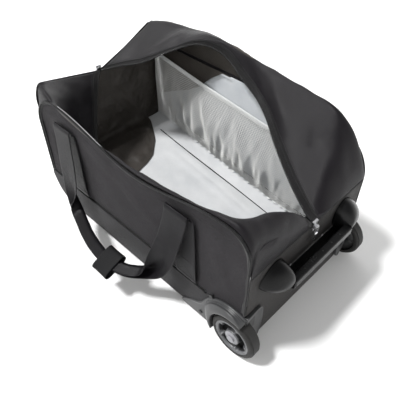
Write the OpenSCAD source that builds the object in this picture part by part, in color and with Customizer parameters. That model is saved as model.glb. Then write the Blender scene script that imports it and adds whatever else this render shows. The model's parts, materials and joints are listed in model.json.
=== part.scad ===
// Rolling duffel bag, standing on its two wheels and two skid feet, mouth unzipped.
// The bag is drawn in its own coordinates: x from the handle end (0) to the wheel end,
// y from the centre line (near side negative), z up from the underside of the base.
// place() then moves all of it into the row frame: origin under the middle, z = 0 at the floor.

/* [Bag] */
// Length of the bag between its two end panels
bag_l = 540; // [520:5:560]
// Width of the bag across its two side panels
bag_w = 308; // [300:2:316]
// Height of a side panel's flat top seam above the base
panel_h = 268; // [262:2:274]
// Height of the smooth coated skirt round the base
skirt_h = 75; // [70:1:80]
// How far the near panel's top edge sags at mid length
near_sag = 34; // [20:2:40]
// Thickness of a padded wall
wall_t = 4; // [3:0.5:5]

/* [Wheels] */
// Radius of a wheel over its tyre
tyre_r = 45; // [42:1:46]
// Width of a wheel
wheel_w = 24; // [20:1:26]
// Distance of the base above the floor
base_lift = 10; // [8:1:12]

/* [Trolley] */
// Radius of the outer trolley tubes
tube_r = 11; // [10:0.5:12]
// Distance of each trolley tube from the centre line
tube_y = 62; // [56:1:66]
// Thickness of a trolley tube's wall
tube_wall = 1.3; // [1:0.1:1.5]
// Radial running gap between one trolley tube and the next
tube_gap = 0.1; // [0.05:0.05:0.2]

/* [Hidden] */
$fn = 64;

// ---- sizes that follow from the driving dimensions ----
half_w = bag_w / 2;             // outside face of a side panel
in_w = half_w - wall_t;         // inside face of a side panel
grip_out = 15;                  // how far the trolley grip stands out of the handle end
end_out = 35;                   // how far the grab handle stands out of the wheel end
x_shift = -(bag_l + end_out - grip_out) / 2;
wheel_x = bag_l - 13;           // wheel axis
wheel_z = tyre_r - base_lift;
wheel_y = half_w + 4;           // middle of a wheel's width
well_r = tyre_r + 5;            // inside of the wheel arch
arch_t = 6;
well_in = wheel_y - wheel_w / 2 - 12; // inner face of the wheel well's wall
end_plate_h = 190;              // seam between the stiff plate and the soft end above it
corner_r = 60;                  // bottom corner under the handle end
left_r = 68;                    // top corner of a side panel at the handle end
near_right_r = 43;              // top corner of the near side panel at the wheel end
far_right_r = 85;               // the same corner of the far side panel, which leans in
edge_x = 2;                     // a side panel stops this far short of each end
tube_z = 20;                    // height of the trolley tubes' axes
tube_start = 40;
tube_end = 340;
mid_r = tube_r - tube_wall - tube_gap;
in_r = mid_r - tube_wall - tube_gap;
axle_r = 4;
bearing_r = 11;
hinge_y = half_w + 6.5;         // axis on which a carry handle swings
hinge_z = 231;
strap_w = 50;
left_strap_x = 96;
right_strap_x = 397;
right_zip_z = 187;              // where the zip ends on the wheel end
left_zip_z = 246;               // where the zip ends on the handle end

// ---- helpers ----
function unit(v) = v / max(norm(v), 1e-9);
function clampi(i, n) = max(0, min(n - 1, i));
// point at parameter t between stations i and i+1 of a smooth curve through all of them
function curve_at(p, i, t) =
    let (a = p[clampi(i - 1, len(p))], b = p[i], c = p[clampi(i + 1, len(p))], d = p[clampi(i + 2, len(p))])
    0.5 * (2 * b + (c - a) * t + (2 * a - 5 * b + 4 * c - d) * t * t + (3 * b - a - 3 * c + d) * t * t * t);
// smooth curve through hand-placed stations, with n steps between each two
function curve(p, n) = concat(
    [for (i = [0:len(p) - 2], k = [0:n - 1]) curve_at(p, i, k / n)], [p[len(p) - 1]]);

// closed thin solid round a grid of points, given as rows of equal length
module sheet(g, t) {
    n = len(g);
    m = len(g[0]);
    nrm = [for (i = [0:n - 1]) [for (j = [0:m - 1]) unit(cross(
        g[i][clampi(j + 1, m)] - g[i][clampi(j - 1, m)],
        g[clampi(i + 1, n)][j] - g[clampi(i - 1, n)][j]))]];
    pts = concat(
        [for (i = [0:n - 1], j = [0:m - 1]) g[i][j] + nrm[i][j] * t / 2],
        [for (i = [0:n - 1], j = [0:m - 1]) g[i][j] - nrm[i][j] * t / 2]);
    o = n * m;
    top = [for (i = [0:n - 2], j = [0:m - 2]) each [
        [i * m + j, (i + 1) * m + j, i * m + j + 1],
        [i * m + j + 1, (i + 1) * m + j, (i + 1) * m + j + 1]]];
    bottom = [for (f = top) [f[0] + o, f[2] + o, f[1] + o]];
    loop = concat(
        [for (j = [0:m - 1]) j], [for (i = [1:n - 1]) i * m + m - 1],
        [for (j = [m - 2:-1:0]) (n - 1) * m + j], [for (i = [n - 2:-1:1]) i * m]);
    k = len(loop);
    rim = [for (i = [0:k - 1]) each [
        [loop[i], loop[(i + 1) % k], loop[i] + o],
        [loop[(i + 1) % k], loop[(i + 1) % k] + o, loop[i] + o]]];
    polyhedron(points = pts, faces = concat(top, bottom, rim));
}

// tube of eight sides along a path
module cord(path, r) {
    m = len(path);
    sides = 8;
    dir = [for (i = [0:m - 1]) unit(path[clampi(i + 1, m)] - path[clampi(i - 1, m)])];
    pts = [for (i = [0:m - 1], s = [0:sides - 1])
        let (a = unit(cross(dir[i], [0, 1, 0])), b = cross(dir[i], a), w = 360 * s / sides)
        path[i] + r * (cos(w) * a + sin(w) * b)];
    faces = concat(
        [for (i = [0:m - 2], s = [0:sides - 1]) let (q = (s + 1) % sides) each [
            [i * sides + s, i * sides + q, (i + 1) * sides + s],
            [i * sides + q, (i + 1) * sides + q, (i + 1) * sides + s]]],
        [[for (s = [sides - 1:-1:0]) s]], [[for (s = [0:sides - 1]) (m - 1) * sides + s]]);
    polyhedron(points = pts, faces = faces);
}

module place() { translate([x_shift, 0, base_lift]) children(); }
// the far side's copy of a piece that is drawn on the near side
module far() { mirror([0, 1, 0]) children(); }
module both_sides() { children(); far() children(); }
// plate drawn as an outline in x and z, standing at y0 with thickness t towards +y
module side_plate(y0, t) { translate([0, y0 + t, 0]) rotate([90, 0, 0]) linear_extrude(t) children(); }
// plate drawn as an outline in y and z, standing at x0 with thickness t towards +x
module end_plate(x0, t) {
    translate([x0, 0, 0]) rotate([90, 0, 90]) linear_extrude(t) children();
}
module slab(lo, hi) { translate(lo) cube(hi - lo); }
module rod_y(x, z, y0, y1, r) { translate([x, y1, z]) rotate([90, 0, 0]) cylinder(h = y1 - y0, r = r); }
module rod_x(y, z, x0, x1, r) { translate([x0, y, z]) rotate([0, 90, 0]) cylinder(h = x1 - x0, r = r); }
module round_box(lo, hi, r) {
    hull() for (x = [lo[0] + r, hi[0] - r], y = [lo[1] + r, hi[1] - r], z = [lo[2] + r, hi[2] - r])
        translate([x, y, z]) sphere(r, $fn = 20);
}

// ---- side panels and skirt ----
// top edge of a side panel: a large corner at the handle end, a smaller one at the wheel end
function right_r(sag) = sag > 0 ? near_right_r : far_right_r;
function panel_top(x, sag) = let (r = right_r(sag))
    x < edge_x + left_r ? panel_h - left_r + sqrt(max(0, pow(left_r, 2) - pow(edge_x + left_r - x, 2))) :
    x > bag_l - edge_x - r ? panel_h - r + sqrt(max(0, pow(r, 2) - pow(x - bag_l + edge_x + r, 2))) :
    panel_h - sag * pow(sin(180 * (x - edge_x - left_r) / (bag_l - 2 * edge_x - left_r - r)), 2);
// stations along a side panel's top edge, closer together in the corners
function panel_xs(sag) = let (r = right_r(sag)) concat([for (a = [0:10:80]) edge_x + left_r * (1 - cos(a))],
    [for (i = [0:20]) let (x0 = edge_x + left_r, x1 = bag_l - edge_x - r) x0 + (x1 - x0) * i / 20],
    [for (a = [80:-10:0]) bag_l - edge_x - r + r * cos(a)]);

module wheel_gap(extra = 1) { rod_y(wheel_x, wheel_z, -half_w - 30, -well_in + extra, well_r + arch_t + extra); }

seam_gap = 2.5;                 // a side panel stops this far inside its seam with the top
module side_panel(sag) {
    difference() {
        side_plate(-half_w, wall_t) offset(delta = -seam_gap) polygon(concat(
            [for (x = panel_xs(sag)) [x, panel_top(x, sag)]],
            [[bag_l - edge_x + seam_gap, skirt_h + 0.5 - seam_gap],
             [edge_x - seam_gap, skirt_h + 0.5 - seam_gap]]));
        wheel_gap();
    }
}
module near_side_panel() { color([0.20, 0.19, 0.21]) place() side_panel(near_sag); }
module far_side_panel() { color([0.20, 0.19, 0.21]) place() far() side_panel(0); }

module side_skirt() {
    difference() {
        side_plate(-half_w, wall_t) union() {
            translate([corner_r - wall_t, 0]) square([bag_l - edge_x - corner_r + wall_t, skirt_h]);
            translate([-wall_t, corner_r]) square([corner_r, skirt_h - corner_r]);
            intersection() {
                translate([corner_r - wall_t, corner_r]) circle(corner_r);
                translate([-wall_t, 0]) square(corner_r);
            }
        }
        wheel_gap();
    }
}
module near_skirt() { color([0.36, 0.35, 0.37]) place() side_skirt(); }
module far_skirt() { color([0.36, 0.35, 0.37]) place() far() side_skirt(); }

bezel_w = 98;
bezel_h = 74;
module handle_end_skirt() {
    color([0.36, 0.35, 0.37]) place() difference() {
        side_plate(-in_w + 0.3, 2 * in_w - 0.6) union() {
            intersection() {
                translate([corner_r - wall_t, corner_r]) difference() {
                    circle(corner_r);
                    circle(corner_r - 3);
                }
                translate([-wall_t, 0]) square(corner_r);
            }
            translate([-wall_t, corner_r]) square([3, skirt_h + 5 - corner_r]);
        }
        slab([-20, -bezel_w - 0.3, -1], [80, bezel_w + 0.3, bezel_h + 0.3]);
    }
}

// ---- base ----
module base_cloth() {
    color([0.14, 0.14, 0.15]) place() difference() {
        slab([corner_r - wall_t, -in_w + 0.2, 0], [bag_l - wall_t - 0.2, in_w - 0.2, 1.5]);
        both_sides() wheel_gap();
        slab([0, -bezel_w - 0.3, -1], [50, bezel_w + 0.3, 5]);
    }
}
module base_board() {
    color([0.08, 0.08, 0.09]) place() difference() {
        slab([corner_r - wall_t + 2, -in_w + 2, 1.8], [bag_l - wall_t - 1, in_w - 2, 5.5]);
        both_sides() wheel_gap();
    }
}
module skid_feet() {
    color([0.10, 0.10, 0.11]) place() both_sides() difference() {
        union() {
            slab([70, -122, -base_lift + 3], [128, -98, -0.2]);
            rod_y(76, -base_lift + 6, -122, -98, 6);
            rod_y(122, -base_lift + 6, -122, -98, 6);
            slab([76, -122, -base_lift], [122, -98, -3]);
        }
        slab([60, -123, -0.2], [140, -97, 6]);
    }
}

// ---- ends ----
module handle_end_panel() {
    color([0.19, 0.18, 0.20]) place() end_plate(-wall_t, wall_t) polygon([
        [-149, skirt_h + 6], [149, skirt_h + 6], [150, 262], [147, 303], [138, 306],
        [70, 274], [-2, 247], [-70, 262], [-138, 275], [-147, 268], [-150, 240]]);
}
module wheel_end_plate() {
    color([0.16, 0.16, 0.17]) place() difference() {
        end_plate(bag_l - wall_t, wall_t) translate([-in_w + 0.3, 0]) square([2 * in_w - 0.6, end_plate_h]);
        both_sides() wheel_gap();
        for (y = rivet_ys) rod_x(y, rivet_z, bag_l - 10, bag_l + 10, 2.5);
    }
}
module wheel_end_panel() {
    color([0.19, 0.18, 0.20]) place() end_plate(bag_l - wall_t, wall_t) polygon([
        [-149.7, end_plate_h + 0.5], [-149.7, 228], [-142, 250], [-122, 256], [-60, 240],
        [-32, 222], [-4, end_plate_h + 3], [6, end_plate_h + 1], [143, end_plate_h + 7],
        [145, end_plate_h + 0.5]]);
}

// ---- the two halves of the top, spread apart at the zip ----
// Each half is a cloth from its side panel's seam, over a fold, to the zip's edge.
near_zip_edge = [[3, -4, 250], [20, -25, 232], [41, -52, 183], [70, -80, 140], [115, -112, 118],
    [175, -120, 112], [260, -122, 112], [345, -120, 120], [420, -112, 150], [478, -102, 218],
    [505, -80, 246], [528, -48, 244], [534, 0, 187]];
near_fold = [[3, -140, 278], [20, -143, 277], [45, -146, 273], [75, -148, 269], [115, -149, 265],
    [175, -149, 253], [260, -149, 246], [345, -149, 254], [420, -149, 264], [478, -147, 276],
    [505, -143, 283], [526, -138, 272], [534, -132, 254]];
far_zip_edge = [[3, 0, 250], [30, 30, 258], [72, 55, 272], [115, 85, 298], [165, 118, 321],
    [215, 136, 312], [275, 131, 280], [345, 105, 260], [405, 70, 230], [462, 40, 204],
    [512, 14, 190], [530, 6, 188], [534, 4, 187]];
far_fold = [[3, 146, 312], [30, 149, 318], [75, 150, 324], [120, 150, 329], [175, 150, 333],
    [230, 150, 330], [290, 150, 322], [345, 150, 315], [400, 149, 311], [455, 148, 306],
    [500, 147, 282], [530, 146, 222], [534, 147, 197]];
zip_part = 0.1;                 // share of the cloth's width that is the zip
function seam_line(fold, side, sag) = [for (p = curve(fold, 2))
    let (x = max(edge_x + 1, min(bag_l - edge_x - 1, p[0]))) [x, side * (half_w - 2), panel_top(x, sag) + 1]];
// a row of the cloth part way from the fold to the zip's edge, crowned by bulge
function cloth_row(fold, edge, t, bulge) = [for (i = [0:len(fold) - 1])
    fold[i] * (1 - t) + edge[i] * t + [0, 0, bulge * 4 * t * (1 - t) * sin(180 * i / (len(fold) - 1))]];
function top_cloth(fold, edge, side, sag, bulge) = concat([seam_line(fold, side, sag)],
    [for (t = [0, 0.3, 0.6, 1 - zip_part - 0.01]) curve(cloth_row(fold, edge, t, bulge), 2)]);
function zip_cloth(fold, edge, bulge) =
    [for (t = [1 - zip_part, 1 - zip_part / 2, 1]) curve(cloth_row(fold, edge, t, bulge), 2)];

module near_gusset() {
    color([0.17, 0.16, 0.18]) place() sheet(top_cloth(near_fold, near_zip_edge, -1, near_sag, 4), 2);
}
module far_gusset() {
    color([0.22, 0.21, 0.23]) place() sheet(top_cloth(far_fold, far_zip_edge, 1, 0, 8), 2);
}
module near_zip_chain() { color([0.05, 0.05, 0.05]) place() sheet(zip_cloth(near_fold, near_zip_edge, 4), 2.4); }
module far_zip_chain() { color([0.05, 0.05, 0.05]) place() sheet(zip_cloth(far_fold, far_zip_edge, 8), 2.4); }

// piping round a side panel: up from the skirt, over the top and down again
module side_piping(sag) {
    path = concat([[edge_x, skirt_h + 8], [edge_x, 140]], [for (x = panel_xs(sag)) [x, panel_top(x, sag)]],
        [[bag_l - edge_x, 140], [bag_l - edge_x, 96]]);
    cord([for (p = path) [p[0], -half_w - 1.6, p[1]]], 1.5);
}
module near_piping() { color([0.09, 0.09, 0.10]) place() side_piping(near_sag); }
module far_piping() { color([0.09, 0.09, 0.10]) place() far() side_piping(0); }

// ---- inside ----
lining_t = 1.2;
lining_drop = 18;               // a wall's lining stops this far below the panel's seam
module wall_lining(sag) {
    difference() {
        side_plate(-in_w + 0.2, lining_t) polygon(concat(
            [for (x = panel_xs(sag)) if (x > 8 && x < bag_l - 10) [x, panel_top(x, sag) - lining_drop]],
            [[bag_l - 10, 28], [400, 28], [60, 86], [8, 86]]));
        wheel_gap(3);
    }
}
module near_wall_lining() { color([0.86, 0.87, 0.89]) place() wall_lining(near_sag); }
module far_wall_lining() { color([0.86, 0.87, 0.89]) place() far() wall_lining(0); }
module handle_end_lining() {
    color([0.25, 0.24, 0.23]) place() end_plate(0.3, lining_t) polygon([
        [-in_w + 3, 86], [in_w - 3, 86], [in_w - 3, 240], [100, 262], [0, 238], [-in_w + 3, 250]]);
}
// stiffened floor: rests on the trolley bezel at the handle end, and slopes to the wheel end
module floor_pad() {
    color([0.90, 0.91, 0.93]) place() difference() {
        side_plate(-in_w + 1.8, 2 * in_w - 3.6)
            polygon([[8, 80], [52, 80], [400, 21.5], [528, 21.5], [528, 25.5], [402, 25.5], [54, 84], [8, 84]]);
        both_sides() wheel_gap(3);
    }
}
// net pocket hanging on the far wall, full at the bottom
pocket_stations = [[12, 240], [90, 228], [170, 216], [250, 207], [330, 198], [410, 196], [455, 198]];
function pocket_row(t) = [for (p = pocket_stations)
    let (x = p[0], hem_z = p[1], foot_z = max(30, 95.5 - 0.168 * x),
         full = sin(180 * (x - 12) / 443))
    [x, in_w - 9 - 20 * full * sin(180 * pow(t, 0.8)) - 2 * t * full, hem_z + (foot_z - hem_z) * t]];
module mesh_pocket() {
    color([0.75, 0.75, 0.74]) place()
        sheet([for (t = [0, 0.15, 0.35, 0.55, 0.8, 1]) curve(pocket_row(t), 3)], 1);
}
module mesh_hem() {
    color([0.80, 0.80, 0.79]) place() sheet([for (lift = [7, 4, 1]) [for (p = curve(pocket_row(0), 3))
        p + [0, 0.5, lift]]], 1.6);
}

// ---- carry handles ----
// the two strips of each handle that are sewn flat to a side panel, up to the handle's fold
module sewn_webbing() {
    for (x = [left_strap_x + 6, right_strap_x + 8])
        side_plate(-half_w - 2.2, 2) polygon([
            [x - strap_w / 2 + 4, skirt_h + 4], [x + strap_w / 2 + 4, skirt_h + 4],
            [x + strap_w / 2, hinge_z + 2], [x - strap_w / 2, hinge_z + 2]]);
}
module near_webbing() { color([0.15, 0.15, 0.17]) place() sewn_webbing(); }
module far_webbing() { color([0.15, 0.15, 0.17]) place() far() sewn_webbing(); }

// stations along a handle's loose loop: place, direction across the strap, half width
handle_path = [
    [[96, -162.8, 228], [1, 0, 0], 25], [[99, -168, 190], [1, 0.05, 0], 25],
    [[103, -173, 150], [0.98, 0.15, 0.05], 25], [[107, -177, 110], [0.9, 0.3, 0.25], 23],
    [[113, -181, 78], [0.75, 0.5, 0.45], 18], [[128, -187, 62], [0.35, 0.75, 0.6], 13],
    [[155, -196, 57], [0.05, 0.9, 0.45], 12], [[190, -208, 56], [0, 0.92, 0.39], 12],
    [[230, -218, 58], [0, 0.92, 0.39], 12], [[275, -222, 60], [0, 0.92, 0.39], 12],
    [[312, -212, 59], [-0.05, 0.92, 0.39], 12], [[340, -194, 62], [-0.4, 0.7, 0.6], 13],
    [[360, -183, 82], [-0.8, 0.45, 0.45], 19], [[372, -178, 115], [-0.95, 0.25, 0.2], 23],
    [[382, -173, 150], [-0.98, 0.15, 0.05], 25], [[390, -168, 190], [-1, 0.05, 0], 25],
    [[397, -162.8, 228], [-1, 0, 0], 25]];
// reach stretches how far the loop hangs out from the side of the bag
module handle_strap(reach = 1) {
    mid = curve([for (s = handle_path)
        [s[0][0], -hinge_y + reach * (s[0][1] + hinge_y), s[0][2]]], 2);
    across = curve([for (s = handle_path) unit(s[1]) * s[2]], 2);
    sheet([for (k = [-1, 0, 1]) [for (i = [0:len(mid) - 1]) mid[i] + k * across[i]]], 3);
    for (x = [left_strap_x, right_strap_x])
        translate([x - strap_w / 2, -hinge_y, hinge_z]) rotate([0, 90, 0]) cylinder(h = strap_w, r = 4);
}
module near_handle_strap() { color([0.15, 0.15, 0.17]) place() handle_strap(); }
module far_handle_strap() { color([0.15, 0.15, 0.17]) place() far() handle_strap(1.155); }
// flat sleeve of hook-and-loop cloth that holds both handles together
wrap_l = 40;
module near_handle_wrap() {
    color([0.12, 0.12, 0.13]) place() translate([275, -227, 57.6]) rotate([23, 0, 0]) difference() {
        translate([-wrap_l / 2, 0, 0]) rotate([90, 0, 90]) linear_extrude(wrap_l) union() {
            square([36, 12], center = true);
            for (s = [-1, 1]) translate([s * 18, 0]) circle(6);
        }
        translate([-wrap_l / 2 - 1, 0, 0]) rotate([90, 0, 90]) linear_extrude(wrap_l + 2) union() {
            square([36, 8], center = true);
            for (s = [-1, 1]) translate([s * 18, 0]) circle(4);
        }
    }
}

// ---- zip sliders and pulls ----
// A slider lies on an end of the bag. Its lug holds the pin of a yoke, which carries a leaf.
lug_x = 7.5;                    // the pin stands this far out of the bag's end
link_l = 14;                    // from the yoke's pin to its lower bar
leaf_l = 22;
pin_drop = 2;                   // the pin sits this far below the slider's middle
module slider() {
    difference() {
        union() {
            slab([1, -6, -9], [5, 6, 9]);
            slab([5, -3, -5], [lug_x + 2.5, 3, 1]);
        }
        rod_y(lug_x, -pin_drop, -4, 4, 1.7);
    }
}
module pull_link() {
    for (s = [-1, 1]) slab([-0.9, s * 4.1 - 0.8, -link_l - 1.2], [0.9, s * 4.1 + 0.8, 1.6]);
    rod_y(0, 0, -4, 4, 1.3);
    rod_y(0, -link_l, -4, 4, 1.1);
}
module pull_tab() {
    difference() {
        union() {
            rod_y(0, 0, -2.8, 2.8, 2.4);
            end_plate(-0.8, 1.6) polygon([[-2.5, -1.5], [2.5, -1.5], [4.6, -7], [5, -11],
                [3.8, -17], [0, -leaf_l], [-3.8, -17], [-5, -11], [-4.6, -7]]);
        }
        rod_y(0, 0, -3, 3, 1.4);
    }
}
module at_wheel_end() { translate([bag_l, 0, right_zip_z + 3]) children(); }
module at_handle_end() { translate([-wall_t, 0, left_zip_z + 3]) mirror([1, 0, 0]) children(); }
module at_pin() { translate([lug_x, 0, -pin_drop]) children(); }
module wheel_end_slider() { color([0.78, 0.78, 0.80]) place() at_wheel_end() slider(); }
module handle_end_slider() { color([0.78, 0.78, 0.80]) place() at_handle_end() slider(); }
module wheel_end_pull_link() { color([0.80, 0.80, 0.82]) place() at_wheel_end() at_pin() pull_link(); }
module handle_end_pull_link() { color([0.80, 0.80, 0.82]) place() at_handle_end() at_pin() pull_link(); }
module wheel_end_pull_tab() {
    color([0.80, 0.80, 0.82]) place() at_wheel_end() at_pin() translate([0, 0, -link_l]) pull_tab();
}
module handle_end_pull_tab() {
    color([0.80, 0.80, 0.82]) place() at_handle_end() at_pin() translate([0, 0, -link_l]) pull_tab();
}

// ---- wheel housings, wheels and axles ----
hub_out = wheel_y + wheel_w / 2 - 1;   // outer face of the rim
hub_in = wheel_y - wheel_w / 2 + 1;    // inner face of the rim
boss_end = hub_in + 0.7;        // outer end of the boss that the inner bearing runs against
screw_places = [[470, 84], [446, 12]];
module wheel_housing() {
    difference() {
        union() {
            // the well round the wheel, and a fender that flares back to the side of the bag
            rod_y(wheel_x, wheel_z, -half_w - 4, -well_in, well_r + arch_t);
            translate([wheel_x, 0, wheel_z]) rotate([90, 0, 0]) rotate_extrude(convexity = 4) polygon([
                [well_r - 3, half_w], [well_r + 12, half_w + 2], [well_r + 12, half_w + 4],
                [well_r + 5, wheel_y + wheel_w / 2], [well_r - 3, wheel_y + wheel_w / 2]]);
            // flange on the side of the bag, with its tongue along the base
            side_plate(-half_w - 4, 3.8) polygon([[398, -1], [398, 10], [436, 18], [452, 46], [462, 74],
                [478, 90], [bag_l + 4, 96], [bag_l + 4, -1]]);
            // guard on the wheel end
            end_plate(bag_l + 0.2, 3.8) polygon([[-half_w - 4, 96], [-half_w - 4, 60], [-half_w + 12, -1],
                [-100, -1], [-92, 7], [-92, 58], [-100, 67], [-130, 80], [-140, 96]]);
        }
        // room for the wheel, open outwards, below and past the wheel end
        rod_y(wheel_x, wheel_z, -wheel_y - wheel_w / 2 - 1, -well_in - 4, well_r);
        slab([wheel_x - 80, -wheel_y - 30, -80], [bag_l + 60, 0, -1]);
        slab([bag_l + 4, -wheel_y - 30, -60], [bag_l + 80, 0, 120]);
        rod_y(wheel_x, wheel_z, -well_in - 8, -well_in + 1, axle_r);
        for (p = screw_places) rod_y(p[0], p[1], -half_w - 5, -half_w + 1, 2);
    }
    difference() {
        rod_y(wheel_x, wheel_z, -boss_end, -well_in - 3.9, 8);
        rod_y(wheel_x, wheel_z, -boss_end - 1, -well_in, axle_r);
    }
}
module near_wheel_housing() { color([0.42, 0.42, 0.43]) place() wheel_housing(); }
module far_wheel_housing() { color([0.42, 0.42, 0.43]) place() far() wheel_housing(); }

module tyre() {
    translate([wheel_x, -wheel_y, wheel_z]) rotate([90, 0, 0]) rotate_extrude($fn = 96) {
        translate([tyre_r - 6, 0]) intersection() {
            union() {
                translate([-4, -wheel_w / 2]) square([4, wheel_w]);
                translate([0, -wheel_w / 2 + 5]) square([6, wheel_w - 10]);
                for (s = [-1, 1]) translate([0, s * (wheel_w / 2 - 5)]) circle(5);
            }
            translate([-3, -wheel_w / 2]) square([9, wheel_w]);
        }
    }
}
rim_r = tyre_r - 9;
module rim() {
    difference() {
        union() {
            difference() {
                rod_y(wheel_x, wheel_z, -hub_out, -hub_in, rim_r);
                rod_y(wheel_x, wheel_z, -hub_out - 1, -hub_in + 1, rim_r - 5);
            }
            rod_y(wheel_x, wheel_z, -hub_out + 2, -hub_out + 9, rim_r - 2);
            rod_y(wheel_x, wheel_z, -hub_out, -hub_in, 14);
        }
        // five bean-shaped windows
        for (i = [0:4]) translate([wheel_x, -hub_out + 12, wheel_z]) rotate([90, 90 + 72 * i, 0])
            linear_extrude(20) {
                intersection() {
                    difference() { circle(rim_r - 7); circle(17); }
                    polygon([[0, 0], [60, 22], [60, -22]]);
                }
                for (a = [-20, 20]) rotate(a) translate([(rim_r + 10) / 2, 0]) circle((rim_r - 24) / 2);
            }
        rod_y(wheel_x, wheel_z, -hub_out - 1, -hub_in + 1, bearing_r);
    }
}
module bearings() {
    for (y = [-hub_out + 1, -hub_in - 8]) difference() {
        rod_y(wheel_x, wheel_z, y, y + 7, bearing_r);
        rod_y(wheel_x, wheel_z, y - 1, y + 8, axle_r + 0.05);
    }
}
module axle() {
    rod_y(wheel_x, wheel_z, -hub_out - 2, -well_in + 9, axle_r);
    rod_y(wheel_x, wheel_z, -hub_out - 4, -hub_out, 7.5);
}
module near_tyre() { color([0.16, 0.16, 0.16]) place() tyre(); }
module far_tyre() { color([0.16, 0.16, 0.16]) place() far() tyre(); }
module near_rim() { color([0.55, 0.56, 0.58]) place() rim(); }
module far_rim() { color([0.55, 0.56, 0.58]) place() far() rim(); }
module near_bearings() { color([0.70, 0.70, 0.72]) place() bearings(); }
module far_bearings() { color([0.70, 0.70, 0.72]) place() far() bearings(); }
module near_axle() { color([0.65, 0.65, 0.67]) place() axle(); }
module far_axle() { color([0.65, 0.65, 0.67]) place() far() axle(); }
module axle_nuts() {
    color([0.65, 0.65, 0.67]) place() both_sides() difference() {
        translate([wheel_x, -well_in + 7.2, wheel_z]) rotate([90, 0, 0]) cylinder(h = 7, r = 8, $fn = 6);
        rod_y(wheel_x, wheel_z, -well_in - 1, -well_in + 9, axle_r);
    }
}
module housing_screws() {
    color([0.30, 0.30, 0.32]) place() both_sides() for (p = screw_places) {
        rod_y(p[0], p[1], -half_w - 4, -half_w, 1.9);
        rod_y(p[0], p[1], -half_w - 6, -half_w - 4, 4);
    }
}

// ---- grab handle on the wheel end ----
grab_z = 150;                   // height of the two domes
bar_lo = 130;
bar_hi = 147;
bar_in = bag_l + 20;            // inside face of the bar: fingers pass behind it
bar_y = 74;                     // half length of the bar between the domes
bulb_tip = 33;                  // how far a bulb stands out of the end
bulb_z = [149, 148];            // heights of a bulb's middle, at its foot and at its tip
bulb_rings = 12;
bulb_spokes = 40;
// an egg-shaped foot on the end plate, crowned towards the bar
module bulb() {
    pts = [for (i = [0:bulb_rings - 1], k = [0:bulb_spokes - 1])
        let (w = 360 * k / bulb_spokes, q = i / bulb_rings, c = cos(w), t = sin(w),
             foot_y = 93 + (c > 0 ? 37 : 24) * c, foot_z = bulb_z[0] + 31 * t * (1 - 0.45 * pow(max(c, 0), 2)))
        [bag_l + 0.3 + bulb_tip * pow(1 - pow(1 - q, 2.3), 0.62), foot_y + (84 - foot_y) * q,
         foot_z + (bulb_z[1] - foot_z) * q]];
    last = (bulb_rings - 1) * bulb_spokes;
    polyhedron(points = concat(pts, [[bag_l + 0.3 + bulb_tip, 84, bulb_z[1]]]), faces = concat(
        [[for (k = [0:bulb_spokes - 1]) k]],
        [for (i = [0:bulb_rings - 2], k = [0:bulb_spokes - 1])
            let (a = i * bulb_spokes + k, b = i * bulb_spokes + (k + 1) % bulb_spokes) each [
            [a, a + bulb_spokes, b], [b, a + bulb_spokes, b + bulb_spokes]]],
        [for (k = [0:bulb_spokes - 1]) [last + k, bulb_rings * bulb_spokes, last + (k + 1) % bulb_spokes]]));
}
module grab_handle() {
    color([0.06, 0.06, 0.06]) place() {
        both_sides() bulb();
        difference() {
            slab([bar_in, -bar_y, bar_lo], [bag_l + end_out, bar_y, bar_hi]);
            for (y = [-50:25:50]) translate([bag_l + end_out - 7, y, bar_hi - 8]) cylinder(h = 9, r = 1.6);
        }
        slab([bag_l + 0.3, -bar_y, bar_lo - 6], [bag_l + end_out - 4, bar_y, bar_lo - 1]);
        slab([bar_in + 6, -bar_y, bar_lo - 2], [bag_l + end_out - 4, bar_y, bar_lo + 1]);
    }
}
rivet_z = 127;
rivet_ys = [-100, -45, 45, 100];
module grab_handle_rivets() {
    color([0.35, 0.35, 0.36]) place() for (y = rivet_ys) {
        rod_x(y, rivet_z, bag_l - wall_t - 1.5, bag_l, 2.4);
        rod_x(y, rivet_z, bag_l - wall_t - 3, bag_l - wall_t - 0.1, 5);
    }
}

// ---- trolley ----
module trolley_bezel() {
    color([0.12, 0.12, 0.13]) place() difference() {
        union() {
            slab([0, -bezel_w, 2], [tube_start + 6, bezel_w, bezel_h]);
            slab([-wall_t - 1, -bezel_w, 2], [0, bezel_w, bezel_h]);
        }
        slab([-20, -bezel_w + 6, 6], [tube_start, bezel_w - 6, bezel_h - 5]);
        for (y = [-tube_y, tube_y]) rod_x(y, tube_z, tube_start - 5, tube_start + 10, tube_r);
    }
}
module tubes(x0, x1, r) {
    for (y = [-tube_y, tube_y]) difference() {
        rod_x(y, tube_z, x0, x1, r);
        rod_x(y, tube_z, x0 - 1, x1 + 1, r - tube_wall);
    }
}
module outer_tubes() { color([0.62, 0.63, 0.65]) place() tubes(tube_start, tube_end, tube_r); }
module tube_foot() {
    color([0.12, 0.12, 0.13]) place() difference() {
        slab([tube_end - 18, -tube_y - 18, 5.6], [tube_end + 6, tube_y + 18, tube_z + 5]);
        for (y = [-tube_y, tube_y]) rod_x(y, tube_z, tube_end - 30, tube_end, tube_r);
        slab([tube_end - 30, -tube_y + 20, 12], [tube_end - 2, tube_y - 20, 40]);
    }
}
mid_start = 28;
mid_end = 334;
in_start = 4;
in_end = 328;
module middle_tubes() { color([0.68, 0.69, 0.71]) place() tubes(mid_start, mid_end, mid_r); }
module middle_collars() {
    color([0.12, 0.12, 0.13]) place() for (y = [-tube_y, tube_y]) difference() {
        rod_x(y, tube_z, mid_start, mid_start + 10, tube_r);
        rod_x(y, tube_z, mid_start - 1, mid_start + 11, mid_r);
    }
}
pin_x = in_end - 10;
pin_r = 2;
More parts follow.
